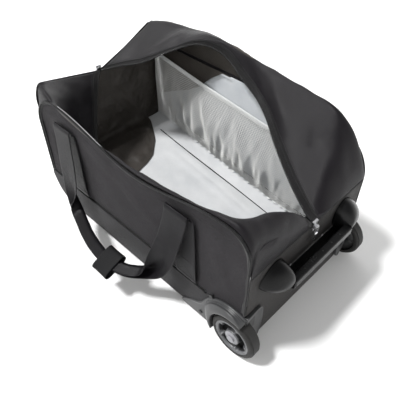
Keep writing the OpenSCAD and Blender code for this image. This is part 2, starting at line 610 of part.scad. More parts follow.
module inner_tubes() {
    color([0.74, 0.75, 0.77]) place() difference() {
        tubes(in_start, in_end, in_r);
        for (s = [-1, 1]) rod_y(pin_x, tube_z, min(s * tube_y, s * (tube_y + 12)),
            max(s * tube_y, s * (tube_y + 12)), pin_r + 0.1);
    }
}
plug_r = in_r - tube_wall;
module inner_plugs() {
    color([0.15, 0.15, 0.16]) place() for (s = [-1, 1]) difference() {
        rod_x(s * tube_y, tube_z, in_end - 20, in_end, plug_r);
        rod_y(pin_x, tube_z, s * tube_y - 10, s * tube_y + 10, pin_r + 0.1);
        rod_x(s * tube_y, tube_z, in_end - 21, pin_x + 0.1, 2.4);
    }
}
button_press = 3.5;
module trolley_grip() {
    color([0.10, 0.10, 0.11]) place() difference() {
        union() {
            slab([-grip_out + 4, -78, tube_z - 12], [6, 78, tube_z + 12]);
            slab([-grip_out, -74, tube_z - 8], [6, 74, tube_z + 8]);
            for (z = [-8, 8]) rod_y(-grip_out + 4, tube_z + z, -78, 78, 4);
            for (y = [-tube_y, tube_y]) rod_x(y, tube_z, 6, 14, in_r + 3);
        }
        // sockets for the tubes, and the hollow in which the button's yoke moves
        for (y = [-tube_y, tube_y]) rod_x(y, tube_z, in_start, 20, in_r);
        slab([-8, -70, tube_z - 4], [in_start + 1, 70, tube_z + 4]);
        slab([-grip_out - 1, -16.2, tube_z - 4.2], [-7, 16.2, tube_z + 4.2]);
    }
}
module grip_button() {
    color([0.30, 0.30, 0.32]) place() {
        slab([-grip_out, -16, tube_z - 4], [-7, 16, tube_z + 4]);
        slab([-7, -tube_y - 4, tube_z - 3], [-3, tube_y + 4, tube_z + 3]);
    }
}
module push_rods() {
    color([0.60, 0.60, 0.62]) place() for (y = [-tube_y, tube_y])
        rod_x(y, tube_z, -3, pin_x - pin_r - button_press - 0.4, 1.5);
}
pin_tip = in_r - 0.1;           // the pin's tip lies just inside the tube it will lock
module lock_pin() { rod_y(pin_x, tube_z, -tube_y - pin_tip, -tube_y - 1, pin_r); }
module near_lock_pin() { color([0.7, 0.7, 0.72]) place() lock_pin(); }
module far_lock_pin() { color([0.7, 0.7, 0.72]) place() far() lock_pin(); }

base_board();
base_cloth();
near_skirt();
far_skirt();
handle_end_skirt();
near_side_panel();
far_side_panel();
handle_end_panel();
wheel_end_plate();
wheel_end_panel();
near_gusset();
far_gusset();
near_zip_chain();
far_zip_chain();
near_piping();
far_piping();
near_wall_lining();
far_wall_lining();
handle_end_lining();
floor_pad();
mesh_pocket();
mesh_hem();
near_webbing();
far_webbing();
handle_end_slider();
wheel_end_slider();
near_wheel_housing();
far_wheel_housing();
near_axle();
far_axle();
axle_nuts();
grab_handle();
grab_handle_rivets();
skid_feet();
trolley_bezel();
outer_tubes();
tube_foot();
housing_screws();
near_tyre();
near_rim();
near_bearings();
far_tyre();
far_rim();
far_bearings();
near_handle_strap();
near_handle_wrap();
far_handle_strap();
middle_tubes();
middle_collars();
inner_tubes();
trolley_grip();
inner_plugs();
grip_button();
push_rods();
near_lock_pin();
far_lock_pin();
wheel_end_pull_link();
wheel_end_pull_tab();
handle_end_pull_link();
handle_end_pull_tab();
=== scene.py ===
# Rolling duffel bag: the visible model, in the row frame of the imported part.
import bpy
import json
import math
import numpy as np
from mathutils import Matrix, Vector, noise

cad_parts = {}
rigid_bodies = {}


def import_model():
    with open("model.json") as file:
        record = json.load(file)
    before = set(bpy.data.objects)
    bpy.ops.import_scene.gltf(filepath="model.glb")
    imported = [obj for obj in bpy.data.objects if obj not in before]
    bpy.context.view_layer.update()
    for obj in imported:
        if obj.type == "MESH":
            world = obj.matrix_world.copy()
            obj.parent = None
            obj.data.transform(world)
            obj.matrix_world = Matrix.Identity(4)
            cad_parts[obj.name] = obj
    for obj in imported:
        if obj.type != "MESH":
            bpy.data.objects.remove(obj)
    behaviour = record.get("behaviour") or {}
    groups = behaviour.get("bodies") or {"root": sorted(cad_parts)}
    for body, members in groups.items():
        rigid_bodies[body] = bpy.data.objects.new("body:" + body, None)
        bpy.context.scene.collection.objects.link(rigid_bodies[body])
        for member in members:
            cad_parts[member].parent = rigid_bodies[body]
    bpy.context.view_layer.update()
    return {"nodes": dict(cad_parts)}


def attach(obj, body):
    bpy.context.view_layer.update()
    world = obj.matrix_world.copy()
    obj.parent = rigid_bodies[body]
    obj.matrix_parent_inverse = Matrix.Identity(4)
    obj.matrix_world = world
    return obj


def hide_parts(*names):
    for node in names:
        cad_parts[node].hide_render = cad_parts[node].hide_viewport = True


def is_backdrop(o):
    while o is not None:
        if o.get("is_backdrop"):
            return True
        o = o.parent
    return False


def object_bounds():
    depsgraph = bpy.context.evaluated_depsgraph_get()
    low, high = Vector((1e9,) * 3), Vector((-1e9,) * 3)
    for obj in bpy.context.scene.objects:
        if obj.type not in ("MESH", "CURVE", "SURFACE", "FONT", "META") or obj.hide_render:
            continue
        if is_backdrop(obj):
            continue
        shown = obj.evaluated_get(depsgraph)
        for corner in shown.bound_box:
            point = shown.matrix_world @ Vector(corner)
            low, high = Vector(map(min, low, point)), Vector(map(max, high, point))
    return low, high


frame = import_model()
NODES = frame["nodes"]

# ---------------------------------------------------------------- helpers
# Bag millimetres (x from the handle end, y from the centre line, z from the base) to the row frame in metres.
SHIFT = np.array([-280.0, 0.0, 10.0])


def row(points):
    return (np.asarray(points, float) + SHIFT) / 1000.0


def curve(points, steps):
    """Smooth curve through the points, with some steps between each two."""
    p = np.asarray(points, float)
    n = len(p)
    out = []
    for i in range(n - 1):
        a, b, c, d = p[max(i - 1, 0)], p[i], p[i + 1], p[min(i + 2, n - 1)]
        for k in range(steps):
            t = k / steps
            out.append(0.5 * (2 * b + (c - a) * t + (2 * a - 5 * b + 4 * c - d) * t * t
                              + (3 * b - a - 3 * c + d) * t ** 3))
    out.append(p[-1])
    return np.array(out)


def along(p):
    """How far along a line each of its points lies."""
    return np.concatenate([[0], np.cumsum(np.linalg.norm(np.diff(p, axis=0), axis=1))])


def pick(w, s, p):
    """The points of a line p, with lengths s, that lie at the lengths w."""
    return np.stack([np.interp(w, s, p[:, k]) for k in range(p.shape[1])], axis=1)


def even(points, count):
    """The same line, as count points at equal distances."""
    p = np.asarray(points, float)
    s = along(p)
    return pick(np.linspace(0, s[-1], count), s, p)


def smooth(points, count):
    return even(curve(points, 8), count)


def unit(v):
    return v / np.maximum(np.linalg.norm(v, axis=-1, keepdims=True), 1e-9)


def normals(g):
    return unit(np.cross(np.gradient(g, axis=1), np.gradient(g, axis=0)))


def cloud(g, size, seed):
    """Smooth noise at each point of a grid, -1 to 1."""
    out = np.zeros(g.shape[:2])
    off = Vector((seed * 7.3, seed * 3.1, seed * 1.7))
    for i in range(g.shape[0]):
        for j in range(g.shape[1]):
            out[i, j] = noise.noise(Vector(g[i, j]) / size + off)
    return out


def rumple(g, height, size, seed, mask=1.0):
    return g + normals(g) * (height * cloud(g, size, seed) * mask)[..., None]


def crease(g, a, b, width, height):
    """A soft ridge (or valley) along the line from a to b."""
    a, b = np.asarray(a, float), np.asarray(b, float)
    ab = b - a
    t = np.clip(((g - a) @ ab) / (ab @ ab), 0, 1)
    d = np.linalg.norm(g - (a + t[..., None] * ab), axis=-1)
    end = np.sin(np.pi * np.clip(t, 0.04, 0.96)) ** 0.6
    return g + normals(g) * (height * np.exp(-(d / width) ** 2) * end)[..., None]


def inner(g, edge=3):
    """1 in the middle of a grid, falling to 0 at its edges."""
    n, m = g.shape[:2]
    a = np.minimum(np.arange(n), np.arange(n)[::-1]) / edge
    b = np.minimum(np.arange(m), np.arange(m)[::-1]) / edge
    return np.minimum(np.clip(a, 0, 1)[:, None], np.clip(b, 0, 1)[None, :])


def stand(name, data):
    """A new object in the scene, made of a mesh, a light or a camera."""
    o = bpy.data.objects.new(name, data)
    bpy.context.scene.collection.objects.link(o)
    return o


def put(name, verts, faces, material, uvs=None, body="bag", slot=None, nodes=(), flat=False):
    mesh = bpy.data.meshes.new(name)
    mesh.from_pydata([tuple(v) for v in row(verts)], [], [tuple(f) for f in faces])
    mesh.validate()
    if uvs is not None:
        layer = mesh.uv_layers.new(name="UVMap")
        index = np.zeros(len(mesh.loops), dtype=np.int32)
        mesh.loops.foreach_get("vertex_index", index)
        layer.data.foreach_set("uv", np.asarray(uvs, float)[index].ravel())
    mesh.polygons.foreach_set("use_smooth", [not flat] * len(mesh.polygons))
    obj = stand(name, mesh)
    mesh.materials.append(material)
    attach(obj, body)
    if nodes:
        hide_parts(*nodes)
    return obj


def lengths(g):
    """How far along its row, and along its column, each point of a grid lies."""
    u = np.cumsum(np.linalg.norm(np.diff(g, axis=1), axis=2), axis=1)
    v = np.cumsum(np.linalg.norm(np.diff(g, axis=0), axis=2), axis=0)
    return np.pad(u, ((0, 0), (1, 0))), np.pad(v, ((1, 0), (0, 0)))


def cloth(name, g, material, thick=1.2, level=1, offset=0.0, **kw):
    """A sheet over a grid of points (rows of equal length), with its UVs in metres."""
    g = np.asarray(g, float)
    n, m = g.shape[:2]
    verts = g.reshape(-1, 3)
    ids = np.arange(n * m).reshape(n, m)
    faces = np.stack([ids[:-1, :-1], ids[:-1, 1:], ids[1:, 1:], ids[1:, :-1]], axis=-1).reshape(-1, 4)
    u, v = lengths(g)
    u = u - u[:, m // 2:m // 2 + 1]
    uvs = np.stack([u, v], axis=-1).reshape(-1, 2) / 1000.0
    obj = put(name, verts, faces, material, uvs, **kw)
    if thick:
        mod = obj.modifiers.new("thickness", "SOLIDIFY")
        mod.thickness = thick / 1000.0
        mod.offset = offset
    if level:
        mod = obj.modifiers.new("smooth", "SUBSURF")
        mod.levels = level
        mod.render_levels = level
    return obj


def mirrored(g, side, turn=True):
    """A grid made for the near side, moved to the side that is meant, with its face kept outwards."""
    g = g * np.array([1.0, -side, 1.0])
    return g[::-1] if (side > 0) == turn else g


def tube(name, path, r, material, sides=10, **kw):
    """A round cord along a path; r may be one number or one for each point."""
    p = np.asarray(path, float)
    r = np.broadcast_to(r, (len(p),))
    d = unit(np.gradient(p, axis=0))
    ref = np.array([0.0, 1.0, 0.0]) if abs(d[:, 1]).mean() < 0.7 else np.array([1.0, 0, 0])
    a = unit(np.cross(d, ref))
    b = np.cross(d, a)
    w = np.linspace(0, 2 * np.pi, sides, endpoint=False)
    ring = p[:, None] + r[:, None, None] * (np.cos(w)[None, :, None] * a[:, None]
                                            + np.sin(w)[None, :, None] * b[:, None])
    n = len(p)
    ids = np.arange(n * sides).reshape(n, sides)
    nxt = np.roll(ids, -1, axis=1)
    faces = np.stack([ids[:-1], nxt[:-1], nxt[1:], ids[1:]], axis=-1).reshape(-1, 4).tolist()
    faces += [list(ids[0])[::-1], list(ids[-1])]
    s = along(p)
    uvs = np.stack([np.repeat(s, sides), np.tile(w * r.mean(), n)], axis=1) / 1000.0
    return put(name, ring.reshape(-1, 3), faces, material, uvs, **kw)


def beads(name, path, up, pitch, size, material, **kw):
    """Many small rounded lumps along a path, such as stitches or a zip's teeth.

    size is along the path, across it and high."""
    p = np.asarray(path, float)
    u = np.broadcast_to(np.asarray(up, float), p.shape)
    s = along(p)
    w = np.arange(pitch / 2, s[-1], pitch)
    at = pick(w, s, p)
    n = unit(pick(w, s, u))
    d = unit(np.gradient(at, axis=0))
    c = unit(np.cross(n, d))
    rings = [(-1, 0.55), (-0.72, 0.95), (0, 1.0), (0.72, 0.95), (1, 0.55)]
    ang = np.linspace(0, 2 * np.pi, 6, endpoint=False)
    local = np.array([(q * size[0] / 2, k * math.cos(t) * size[1] / 2, k * math.sin(t) * size[2] / 2)
                      for q, k in rings for t in ang])
    verts = (at[:, None] + local[None, :, 0:1] * d[:, None] + local[None, :, 1:2] * c[:, None]
             + local[None, :, 2:3] * n[:, None])
    one = []
    for i in range(len(rings) - 1):
        for k in range(6):
            q = (k + 1) % 6
            one.append([i * 6 + k, i * 6 + q, i * 6 + 6 + q, i * 6 + 6 + k])
    one += [[5, 4, 3, 2, 1, 0], [24, 25, 26, 27, 28, 29]]
    faces = [[k + 30 * i for k in f] for i in range(len(at)) for f in one]
    return put(name, verts.reshape(-1, 3), faces, material, **kw)


def bevelled(node, width, material):
    """A CAD node that stays, with its edges softened and its finish set."""
    o = NODES[node]
    o.data.materials.clear()
    o.data.materials.append(material)
    for p in o.data.polygons:
        p.use_smooth = True
    if width:
        m = o.modifiers.new("edges", "BEVEL")
        m.width = width / 1000.0
        m.segments = 2
        m.limit_method = "ANGLE"
        m.angle_limit = math.radians(35)
        m.harden_normals = False
        m.use_clamp_overlap = True
    m = o.modifiers.new("normals", "WEIGHTED_NORMAL")
    m.keep_sharp = True


# ---------------------------------------------------------------- finishes
def start(name):
    m = bpy.data.materials.new(name)
    m.use_nodes = True
    t = m.node_tree
    for n in list(t.nodes):
        t.nodes.remove(n)
    out = t.nodes.new("ShaderNodeOutputMaterial")
    sh = t.nodes.new("ShaderNodeBsdfPrincipled")
    t.links.new(sh.outputs[0], out.inputs[0])
    return m, t, sh


def node(t, kind, **values):
    n = t.nodes.new(kind)
    for k, v in values.items():
        if k in n.inputs:
            n.inputs[k].default_value = v
        else:
            setattr(n, k, v)
    return n


def maths(t, op, a, b=0.0):
    n = t.nodes.new("ShaderNodeMath")
    n.operation = op
    for i, v in enumerate((a, b)):
        if isinstance(v, (int, float)):
            n.inputs[i].default_value = v
        else:
            t.links.new(v, n.inputs[i])
    return n.outputs[0]


def scaled(t, source, x, y, z):
    n = t.nodes.new("ShaderNodeMapping")
    n.inputs["Scale"].default_value = (x, y, z)
    t.links.new(source, n.inputs["Vector"])
    return n.outputs[0]


def ramp(t, fac, stops):
    n = t.nodes.new("ShaderNodeValToRGB")
    e = n.color_ramp.elements
    while len(e) < len(stops):
        e.new(0.5)
    for k, (pos, col) in enumerate(stops):
        e[k].position = pos
        e[k].color = (*col, 1.0)
    t.links.new(fac, n.inputs[0])
    return n.outputs[0]


def noisy(t, vector, scale, detail=2.0, rough=0.5):
    n = node(t, "ShaderNodeTexNoise", Scale=scale, Detail=detail, Roughness=rough)
    t.links.new(vector, n.inputs["Vector"])
    return n.outputs["Fac"] if "Fac" in n.outputs else n.outputs[0]


WAVE_TURN = 0.314159            # a wave texture repeats at this length over its scale


def wave(t, vector, pitch, axis):
    n = node(t, "ShaderNodeTexWave", wave_type="BANDS", bands_direction=axis, wave_profile="SIN",
             Scale=WAVE_TURN / pitch, Distortion=0.0)
    t.links.new(vector, n.inputs["Vector"])
    return n.outputs["Fac"]


def bump(t, sh, height, strength, distance):
    n = node(t, "ShaderNodeBump", Strength=strength, Distance=distance)
    t.links.new(height, n.inputs["Height"])
    t.links.new(n.outputs[0], sh.inputs["Normal"])


def shade(c, k):
    return tuple(min(1.0, v * k) for v in c)


def weave(name, dark, light, pitch=0.0009, rough=0.85, depth=0.5, sheen=0.15, streak=1.0, blotch=0.25,
          crinkle=0.0, gloss=0.08):
    """Woven cloth: heathered yarn colours, a plain weave in relief, soft blotches of wear."""
    m, t, sh = start(name)
    tc = node(t, "ShaderNodeTexCoord")
    base = tc.outputs["UV"]
    obj = tc.outputs["Object"]
    warp = noisy(t, scaled(t, base, 2200, 160, 300), 1.0, 1.0)
    weft = noisy(t, scaled(t, base, 160, 2200, 300), 1.0, 1.0)
    yarn = maths(t, "MULTIPLY", maths(t, "ADD", warp, weft), 0.5)
    big = noisy(t, obj, 14.0, 3.0, 0.6)
    mix = maths(t, "ADD", maths(t, "MULTIPLY", maths(t, "SUBTRACT", yarn, 0.5), 2.2 * streak),
                maths(t, "ADD", maths(t, "MULTIPLY", maths(t, "SUBTRACT", big, 0.5), blotch * 2), 0.5))
    col = ramp(t, mix, [(0.12, dark), (0.5, tuple((a + b) / 2 for a, b in zip(dark, light))), (0.88, light)])
    t.links.new(col, sh.inputs["Base Color"])
    relief = maths(t, "ADD", wave(t, base, pitch, "X"), wave(t, base, pitch, "Y"))
    relief = maths(t, "ADD", relief, maths(t, "MULTIPLY", yarn, 1.5))
    if crinkle:
        relief = maths(t, "ADD", relief, maths(t, "MULTIPLY", noisy(t, obj, 60.0, 3.0, 0.55), crinkle))
    bump(t, sh, relief, depth, 0.0005)
    sh.inputs["Roughness"].default_value = rough
    sh.inputs["Sheen Weight"].default_value = sheen
    sh.inputs["Sheen Roughness"].default_value = 0.5
    sh.inputs["Specular IOR Level"].default_value = gloss
    return m


def ribbed(name, dark, light, pitch=0.0017, axis="X", rough=0.6, sheen=0.2, depth=0.9):
    """Webbing: fine ribs along the strip, with a cross weave."""
    m, t, sh = start(name)
    tc = node(t, "ShaderNodeTexCoord")
    uv = tc.outputs["UV"]
    rib = wave(t, uv, pitch, axis)
    cross = wave(t, uv, pitch * 1.6, "Y" if axis == "X" else "X")
    fuzz = noisy(t, uv, 900.0, 2.0)
    big = noisy(t, tc.outputs["Object"], 22.0, 2.0)
    mix = maths(t, "ADD", maths(t, "MULTIPLY", rib, 0.35), maths(t, "ADD", maths(t, "MULTIPLY", fuzz, 0.5),
                maths(t, "MULTIPLY", big, 0.3)))
    t.links.new(ramp(t, mix, [(0.3, dark), (0.85, light)]), sh.inputs["Base Color"])
    bump(t, sh, maths(t, "ADD", rib, maths(t, "ADD", maths(t, "MULTIPLY", cross, 0.5), fuzz)), depth, 0.0005)
    sh.inputs["Roughness"].default_value = rough
    sh.inputs["Sheen Weight"].default_value = sheen
    sh.inputs["Specular IOR Level"].default_value = 0.13
    return m


def moulded(name, col, rough=0.5, grain=0.0002, grain_scale=900.0, scuff=0.15, metal=0.0):
    """Plastic, rubber or metal: fine grain in relief, a little uneven in colour and gloss."""
    m, t, sh = start(name)
    tc = node(t, "ShaderNodeTexCoord")
    o = tc.outputs["Object"]
    big = noisy(t, o, 30.0, 4.0, 0.65)
    fine = noisy(t, o, grain_scale, 2.0)
    t.links.new(ramp(t, big, [(0.25, shade(col, 1 - scuff)), (0.5, col), (0.8, shade(col, 1 + scuff))]),
                sh.inputs["Base Color"])
    wear = maths(t, "ADD", maths(t, "MULTIPLY", maths(t, "SUBTRACT", big, 0.5), 0.25), rough)
    t.links.new(wear, sh.inputs["Roughness"])
    if grain:
        bump(t, sh, fine, 0.5, grain)
    sh.inputs["Metallic"].default_value = metal
    return m


SHELL = weave("shell_fabric", (0.005, 0.0045, 0.0052), (0.036, 0.033, 0.037),
              0.0011, 0.62, 0.6, 0.03, 1.1, 0.2)
GUSSET = weave("gusset_fabric", (0.0030, 0.0025, 0.0034), (0.0095, 0.0080, 0.0102),
               0.0009, 0.40, 0.2, 0.0, 0.8, 0.2, 0.0, 0.17)
PLATE = weave("plate_fabric", (0.026, 0.0245, 0.0245), (0.044, 0.042, 0.041),
              0.0008, 0.55, 0.3, 0.03, 0.6, 0.2)
SKIRT = weave("skirt_fabric", (0.016, 0.0155, 0.0165), (0.030, 0.029, 0.031),
              0.0007, 0.5, 0.25, 0.03, 0.4, 0.2)
LINING = weave("lining_fabric", (0.50, 0.515, 0.53), (0.70, 0.705, 0.71),
               0.0006, 0.4, 0.15, 0.0, 0.25, 0.5, 4.0)
WALL_LINING = weave("wall_lining_fabric", (0.46, 0.49, 0.52), (0.66, 0.67, 0.68),
                    0.0006, 0.42, 0.15, 0.0, 0.25, 0.5, 4.0)
# dark lining cloth of the top halves' undersides and the handle end; also laid as painted shade on the far
# wall and on the floor by the handle end
DARK_LINING_AND_SHADE = weave("dark_lining", (0.028, 0.0245, 0.021), (0.066, 0.059, 0.053),
                    0.0007, 0.40, 0.3, 0.0, 0.5, 0.4, 5.0, 0.25)
TAPE = weave("zip_tape", (0.006, 0.006, 0.006), (0.018, 0.017, 0.018), 0.0006, 0.75, 0.5, 0.1)
PIPING = weave("piping_cloth", (0.006, 0.006, 0.006), (0.020, 0.020, 0.021), 0.0007, 0.6, 0.3, 0.1)
COIL = moulded("zip_coil", (0.014, 0.014, 0.015), 0.16, 0.0, 900.0, 0.1)
NET = weave("net_yarn", (0.60, 0.60, 0.59), (0.80, 0.80, 0.78), 0.0006, 0.8, 0.2, 0.0)
HEM = weave("net_hem", (0.60, 0.61, 0.61), (0.75, 0.76, 0.76), 0.0008, 0.8, 0.4, 0.1)
WEBBING = ribbed("webbing", (0.002, 0.0018, 0.0024), (0.009, 0.0082, 0.010), 0.0017, "X", 0.34, 0.0, 0.35)
WRAP = ribbed("wrap_cloth", (0.003, 0.003, 0.0035), (0.014, 0.014, 0.015), 0.0022, "Y", 0.6, 0.0, 0.6)
THREAD = weave("thread", (0.022, 0.021, 0.023), (0.060, 0.058, 0.061), 0.0006, 0.6, 0.2, 0.03)
NICKEL = moulded("zip_metal", (0.72, 0.72, 0.74), 0.22, 0.0, 900.0, 0.06, 1.0)
STEEL = moulded("steel", (0.55, 0.55, 0.57), 0.35, 0.0, 900.0, 0.1, 1.0)
TUBE = moulded("tube_aluminium", (0.60, 0.61, 0.63), 0.32, 0.00004, 1500.0, 0.06, 1.0)
HOUSING = moulded("housing_plastic", (0.034, 0.0345, 0.036), 0.34, 0.00006, 700.0, 0.12)
RIM = moulded("rim_plastic", (0.080, 0.082, 0.087), 0.34, 0.0002, 350.0, 0.45)
HUB = moulded("scuffed_hub", (0.20, 0.20, 0.215), 0.4, 0.0004, 260.0, 0.6)
TYRE = moulded("tyre_rubber", (0.017, 0.0165, 0.016), 0.6, 0.0003, 500.0, 0.2)
TYRE.node_tree.nodes["Principled BSDF"].inputs["Specular IOR Level"].default_value = 0.25
GLOSS = moulded("gloss_black", (0.004, 0.004, 0.0043), 0.24, 0.00004, 600.0, 0.15)
GLOSS.node_tree.nodes["Principled BSDF"].inputs["Specular IOR Level"].default_value = 0.2
BLACK = moulded("black_plastic", (0.012, 0.012, 0.013), 0.5, 0.00025, 700.0, 0.15)
BUTTON = moulded("button_plastic", (0.04, 0.04, 0.043), 0.4, 0.0001, 700.0, 0.1)

# ---------------------------------------------------------------- sizes shared with the part
BAG_L, HALF_W, IN_W, SKIRT_H, EDGE = 540.0, 154.0, 150.0, 75.0, 2.0
PANEL_H, LEFT_R, NEAR_RIGHT_R, FAR_RIGHT_R, CORNER_R = 268.0, 68.0, 43.0, 85.0, 60.0
WHEEL_X, WHEEL_Z, WELL_R = 527.0, 35.0, 56.0
NEAR_SAG = 34.0                 # how far the near panel's top edge hangs in the middle
SEAM_Z = 190.0                  # seam between the wheel end's stiff plate and its soft top


def panel_top(x, sag):
    x = np.asarray(x, float)
    r = NEAR_RIGHT_R if sag > 0 else FAR_RIGHT_R
    a, b = EDGE + LEFT_R, BAG_L - EDGE - r
    left = PANEL_H - LEFT_R + np.sqrt(np.maximum(0, LEFT_R ** 2 - (a - x) ** 2))
    right = PANEL_H - r + np.sqrt(np.maximum(0, r ** 2 - (x - b) ** 2))
    mid = PANEL_H - sag * np.sin(np.pi * np.clip((x - a) / (b - a), 0, 1)) ** 2
    return np.where(x < a, left, np.where(x > b, right, mid))


def panel_xs(sag):
    r = NEAR_RIGHT_R if sag > 0 else FAR_RIGHT_R
    a = np.radians(np.linspace(0, 84, 13))
    left = EDGE + LEFT_R * (1 - np.cos(a))
    mid = np.linspace(EDGE + LEFT_R, BAG_L - EDGE - r, 50)
    right = BAG_L - EDGE - r * (1 - np.cos(a[::-1]))
    return np.concatenate([left, mid, right])


def wheel_arch(x, side_z):
    """Raises a lower edge so that it clears the wheel's well."""
    d = WELL_R ** 2 - (x - WHEEL_X) ** 2
    return np.where(d > 0, np.maximum(side_z, WHEEL_Z + np.sqrt(np.maximum(d, 0)) + 1), side_z)


# ---------------------------------------------------------------- side panels
PIPE_Y = 155.6


def side_panel(side, sag, name, seed):
    """One padded side panel: bottom seam to top seam, slack enough to fold softly."""
    xs = panel_xs(sag)
    ts = np.linspace(0, 1, 34)
    g = np.zeros((len(ts), len(xs), 3))
    for j, x in enumerate(xs):
        lo = float(wheel_arch(x, SKIRT_H + 0.6))
        hi = float(panel_top(x, sag))
        z = lo + (hi - lo) * ts
        slack = math.sin(math.pi * np.clip(x / BAG_L, 0, 1)) ** 0.7
        g[:, j, 0] = x
        g[:, j, 1] = -HALF_W + 1.0 + 3.5 * slack * np.sin(np.pi * ts) * math.sin(x / 60.0 + seed)
        g[:, j, 2] = z
    soft = inner(g, 4)
    g = rumple(g, 3.2, 85.0, seed, soft)
    g = rumple(g, 0.9, 28.0, seed + 1, soft)
    if side < 0:
        for ridge in (((34, -154, 205), (48, -154, 120), 9, -3.5),
                      ((60, -154, 215), (78, -154, 130), 11, 3.0),
                      ((20, -154, 150), (70, -154, 90), 9, 2.2),
                      ((150, -154, 200), (250, -154, 170), 13, -2.5),
                      ((260, -154, 190), (345, -154, 150), 15, 2.6),
                      ((455, -154, 215), (500, -154, 130), 13, 2.6),
                      ((470, -154, 110), (510, -154, 190), 9, -2.4)):
            g = crease(g, *ridge)
    else:
        g = crease(g, (120, -154, 220), (210, -154, 130), 15, 2.6)
        g = crease(g, (300, -154, 130), (400, -154, 210), 15, -2.6)
    # the panel stands no more than 3 mm out past its own plane
    g[..., 1] = np.maximum(g[..., 1], -HALF_W - 3.0)
    g = mirrored(g, side)
    cloth(name, g, SHELL, 2.4, 1, 0.0, slot="shell_fabric",
          nodes=("near_side_panel",) if side < 0 else ("far_side_panel",))
    return g


near_grid = side_panel(-1, NEAR_SAG, "near_side_panel_cloth", 1)
side_panel(1, 0, "far_side_panel_cloth", 5)


def skirt_outline(x):
    """Lower edge of the skirt at x: the round corner under the handle end, then flat."""
    c = CORNER_R - 4
    d = CORNER_R ** 2 - (x - c) ** 2
    low = CORNER_R - math.sqrt(max(d, 0)) if x < c else 0.0
    return float(wheel_arch(x, low))


def side_skirt(side, name, node_name, seed):
    a = np.radians(np.linspace(0, 90, 12))
    xs = np.concatenate([-4 + CORNER_R * (1 - np.cos(a)), np.linspace(60, 470, 46),
                         np.linspace(476, BAG_L - EDGE, 16)])
    ts = np.linspace(0, 1, 12)
    g = np.zeros((len(ts), len(xs), 3))
    for j, x in enumerate(xs):
        lo = skirt_outline(x)
        hi = float(wheel_arch(x, SKIRT_H))
        g[:, j, 0] = x
        g[:, j, 2] = lo + (max(hi, lo + 0.5) - lo) * ts
        g[:, j, 1] = -HALF_W + 0.6 - 1.6 * np.sin(np.pi * ts)
    soft = inner(g, 3)
    g = rumple(g, 1.5, 60.0, seed, soft)
    g = mirrored(g, side)
    return cloth(name, g, SKIRT, 2.0, 1, slot="skirt_fabric", nodes=(node_name,))


side_skirt(-1, "near_skirt_cloth", "near_skirt", 11)
side_skirt(1, "far_skirt_cloth", "far_skirt", 12)

# the skirt where it turns up the handle end, with the trolley's bezel let into it
a = np.radians(np.linspace(0, 90, 10))
arc = [(CORNER_R - 4 - CORNER_R * math.sin(t), CORNER_R - CORNER_R * math.cos(t)) for t in a]
arc += [(-4, 68), (-4, 80)]
arc = even(np.array([(x, 0, z) for x, z in arc]), 22)
for side, word in ((-1, "near"), (1, "far")):
    ys = np.linspace(98.6, 150.5, 8) * side
    g = np.array([[(p[0], y, p[2]) for p in arc] for y in ys])
    if side < 0:
        g = g[::-1]
    g = rumple(g, 0.8, 30.0, 13 + side, inner(g, 2))
    cloth("handle_end_skirt_%s" % word, g, SKIRT, 2.0, 1, slot="skirt_fabric",
          nodes=("handle_end_skirt",) if side < 0 else ())
ys = np.linspace(-98.6, 98.6, 16)
g = np.array([[(-4, y, z) for z in (75, 77.5, 80.5)] for y in ys])
cloth("handle_end_skirt_middle", g, SKIRT, 2.0, 0, slot="skirt_fabric")

# piping: one round cord at each side panel's edge, and one above the skirt
for side, sag, word in ((-1, NEAR_SAG, "near"), (1, 0, "far")):
    xs = panel_xs(sag)
    edge = [(EDGE, SKIRT_H + 4), (EDGE, 110), (EDGE, 150)]
    edge += [(x, float(panel_top(x, sag))) for x in xs]
    edge += [(BAG_L - EDGE, 180), (BAG_L - EDGE, 140), (BAG_L - EDGE, 98)]
    p = smooth([(x, side * PIPE_Y, z) for x, z in edge], 170)
    tube("%s_piping_cord" % word, p, 1.9, PIPING, 10, slot="piping",
         nodes=("%s_piping" % word,))
    # flat flange beside the cord
    q = p.copy()
    q[:, 1] = side * (HALF_W + 0.4)
    mid = np.array([BAG_L / 2, side * HALF_W, 150.0])
    inward = unit(mid - q)
    g = np.stack([q, q + inward * 3.0, q + inward * 6.5])
    g[1, :, 1] += side * 0.6
    if side > 0:
        g = g[::-1]
    cloth("%s_piping_flange" % word, g, PIPING, 0.9, 0, slot="piping")
    low = smooth([(0, side * 155.3, SKIRT_H), (120, side * 156.2, SKIRT_H), (300, side * 156.0, SKIRT_H),
                  (455, side * 155.4, SKIRT_H)], 80)
    tube("%s_skirt_piping" % word, low, 1.7, PIPING, 10, slot="piping")

# ---------------------------------------------------------------- ends
def end_grid(x, outline_low, outline_high, ys, seed, out=1.0, bow=2.0):
    """The grid of a cloth panel across an end of the bag, between a lower and an upper line."""
    ts = np.linspace(0, 1, 18)
    g = np.zeros((len(ts), len(ys), 3))
    for j, y in enumerate(ys):
        lo, hi = outline_low(y), outline_high(y)
        g[:, j, 0] = x + out * bow * np.sin(np.pi * ts) * math.cos(y / 152 * math.pi / 2)
        g[:, j, 1] = y
        g[:, j, 2] = lo + (hi - lo) * ts
    g = rumple(g, 1.8, 55.0, seed, inner(g, 3))
    if out < 0:
        g = g[:, ::-1]
    return g


left_top = lambda y: float(np.interp(y, [-151, -147, -138, -70, -2, 70, 138, 147, 151],
                                     [250, 270, 277, 263, 249, 276, 308, 306, 280]))
ys = np.linspace(-151, 151, 44)
g = end_grid(-3, lambda y: SKIRT_H + 5.5, left_top, ys, 21, -1.0)
g = crease(g, (-3, -120, 250), (-3, -60, 150), 12, 2.5)
g = crease(g, (-3, 100, 270), (-3, 40, 160), 14, 3.0)
cloth("handle_end_cloth", g, SHELL, 2.4, 1, slot="shell_fabric", nodes=("handle_end_panel",))

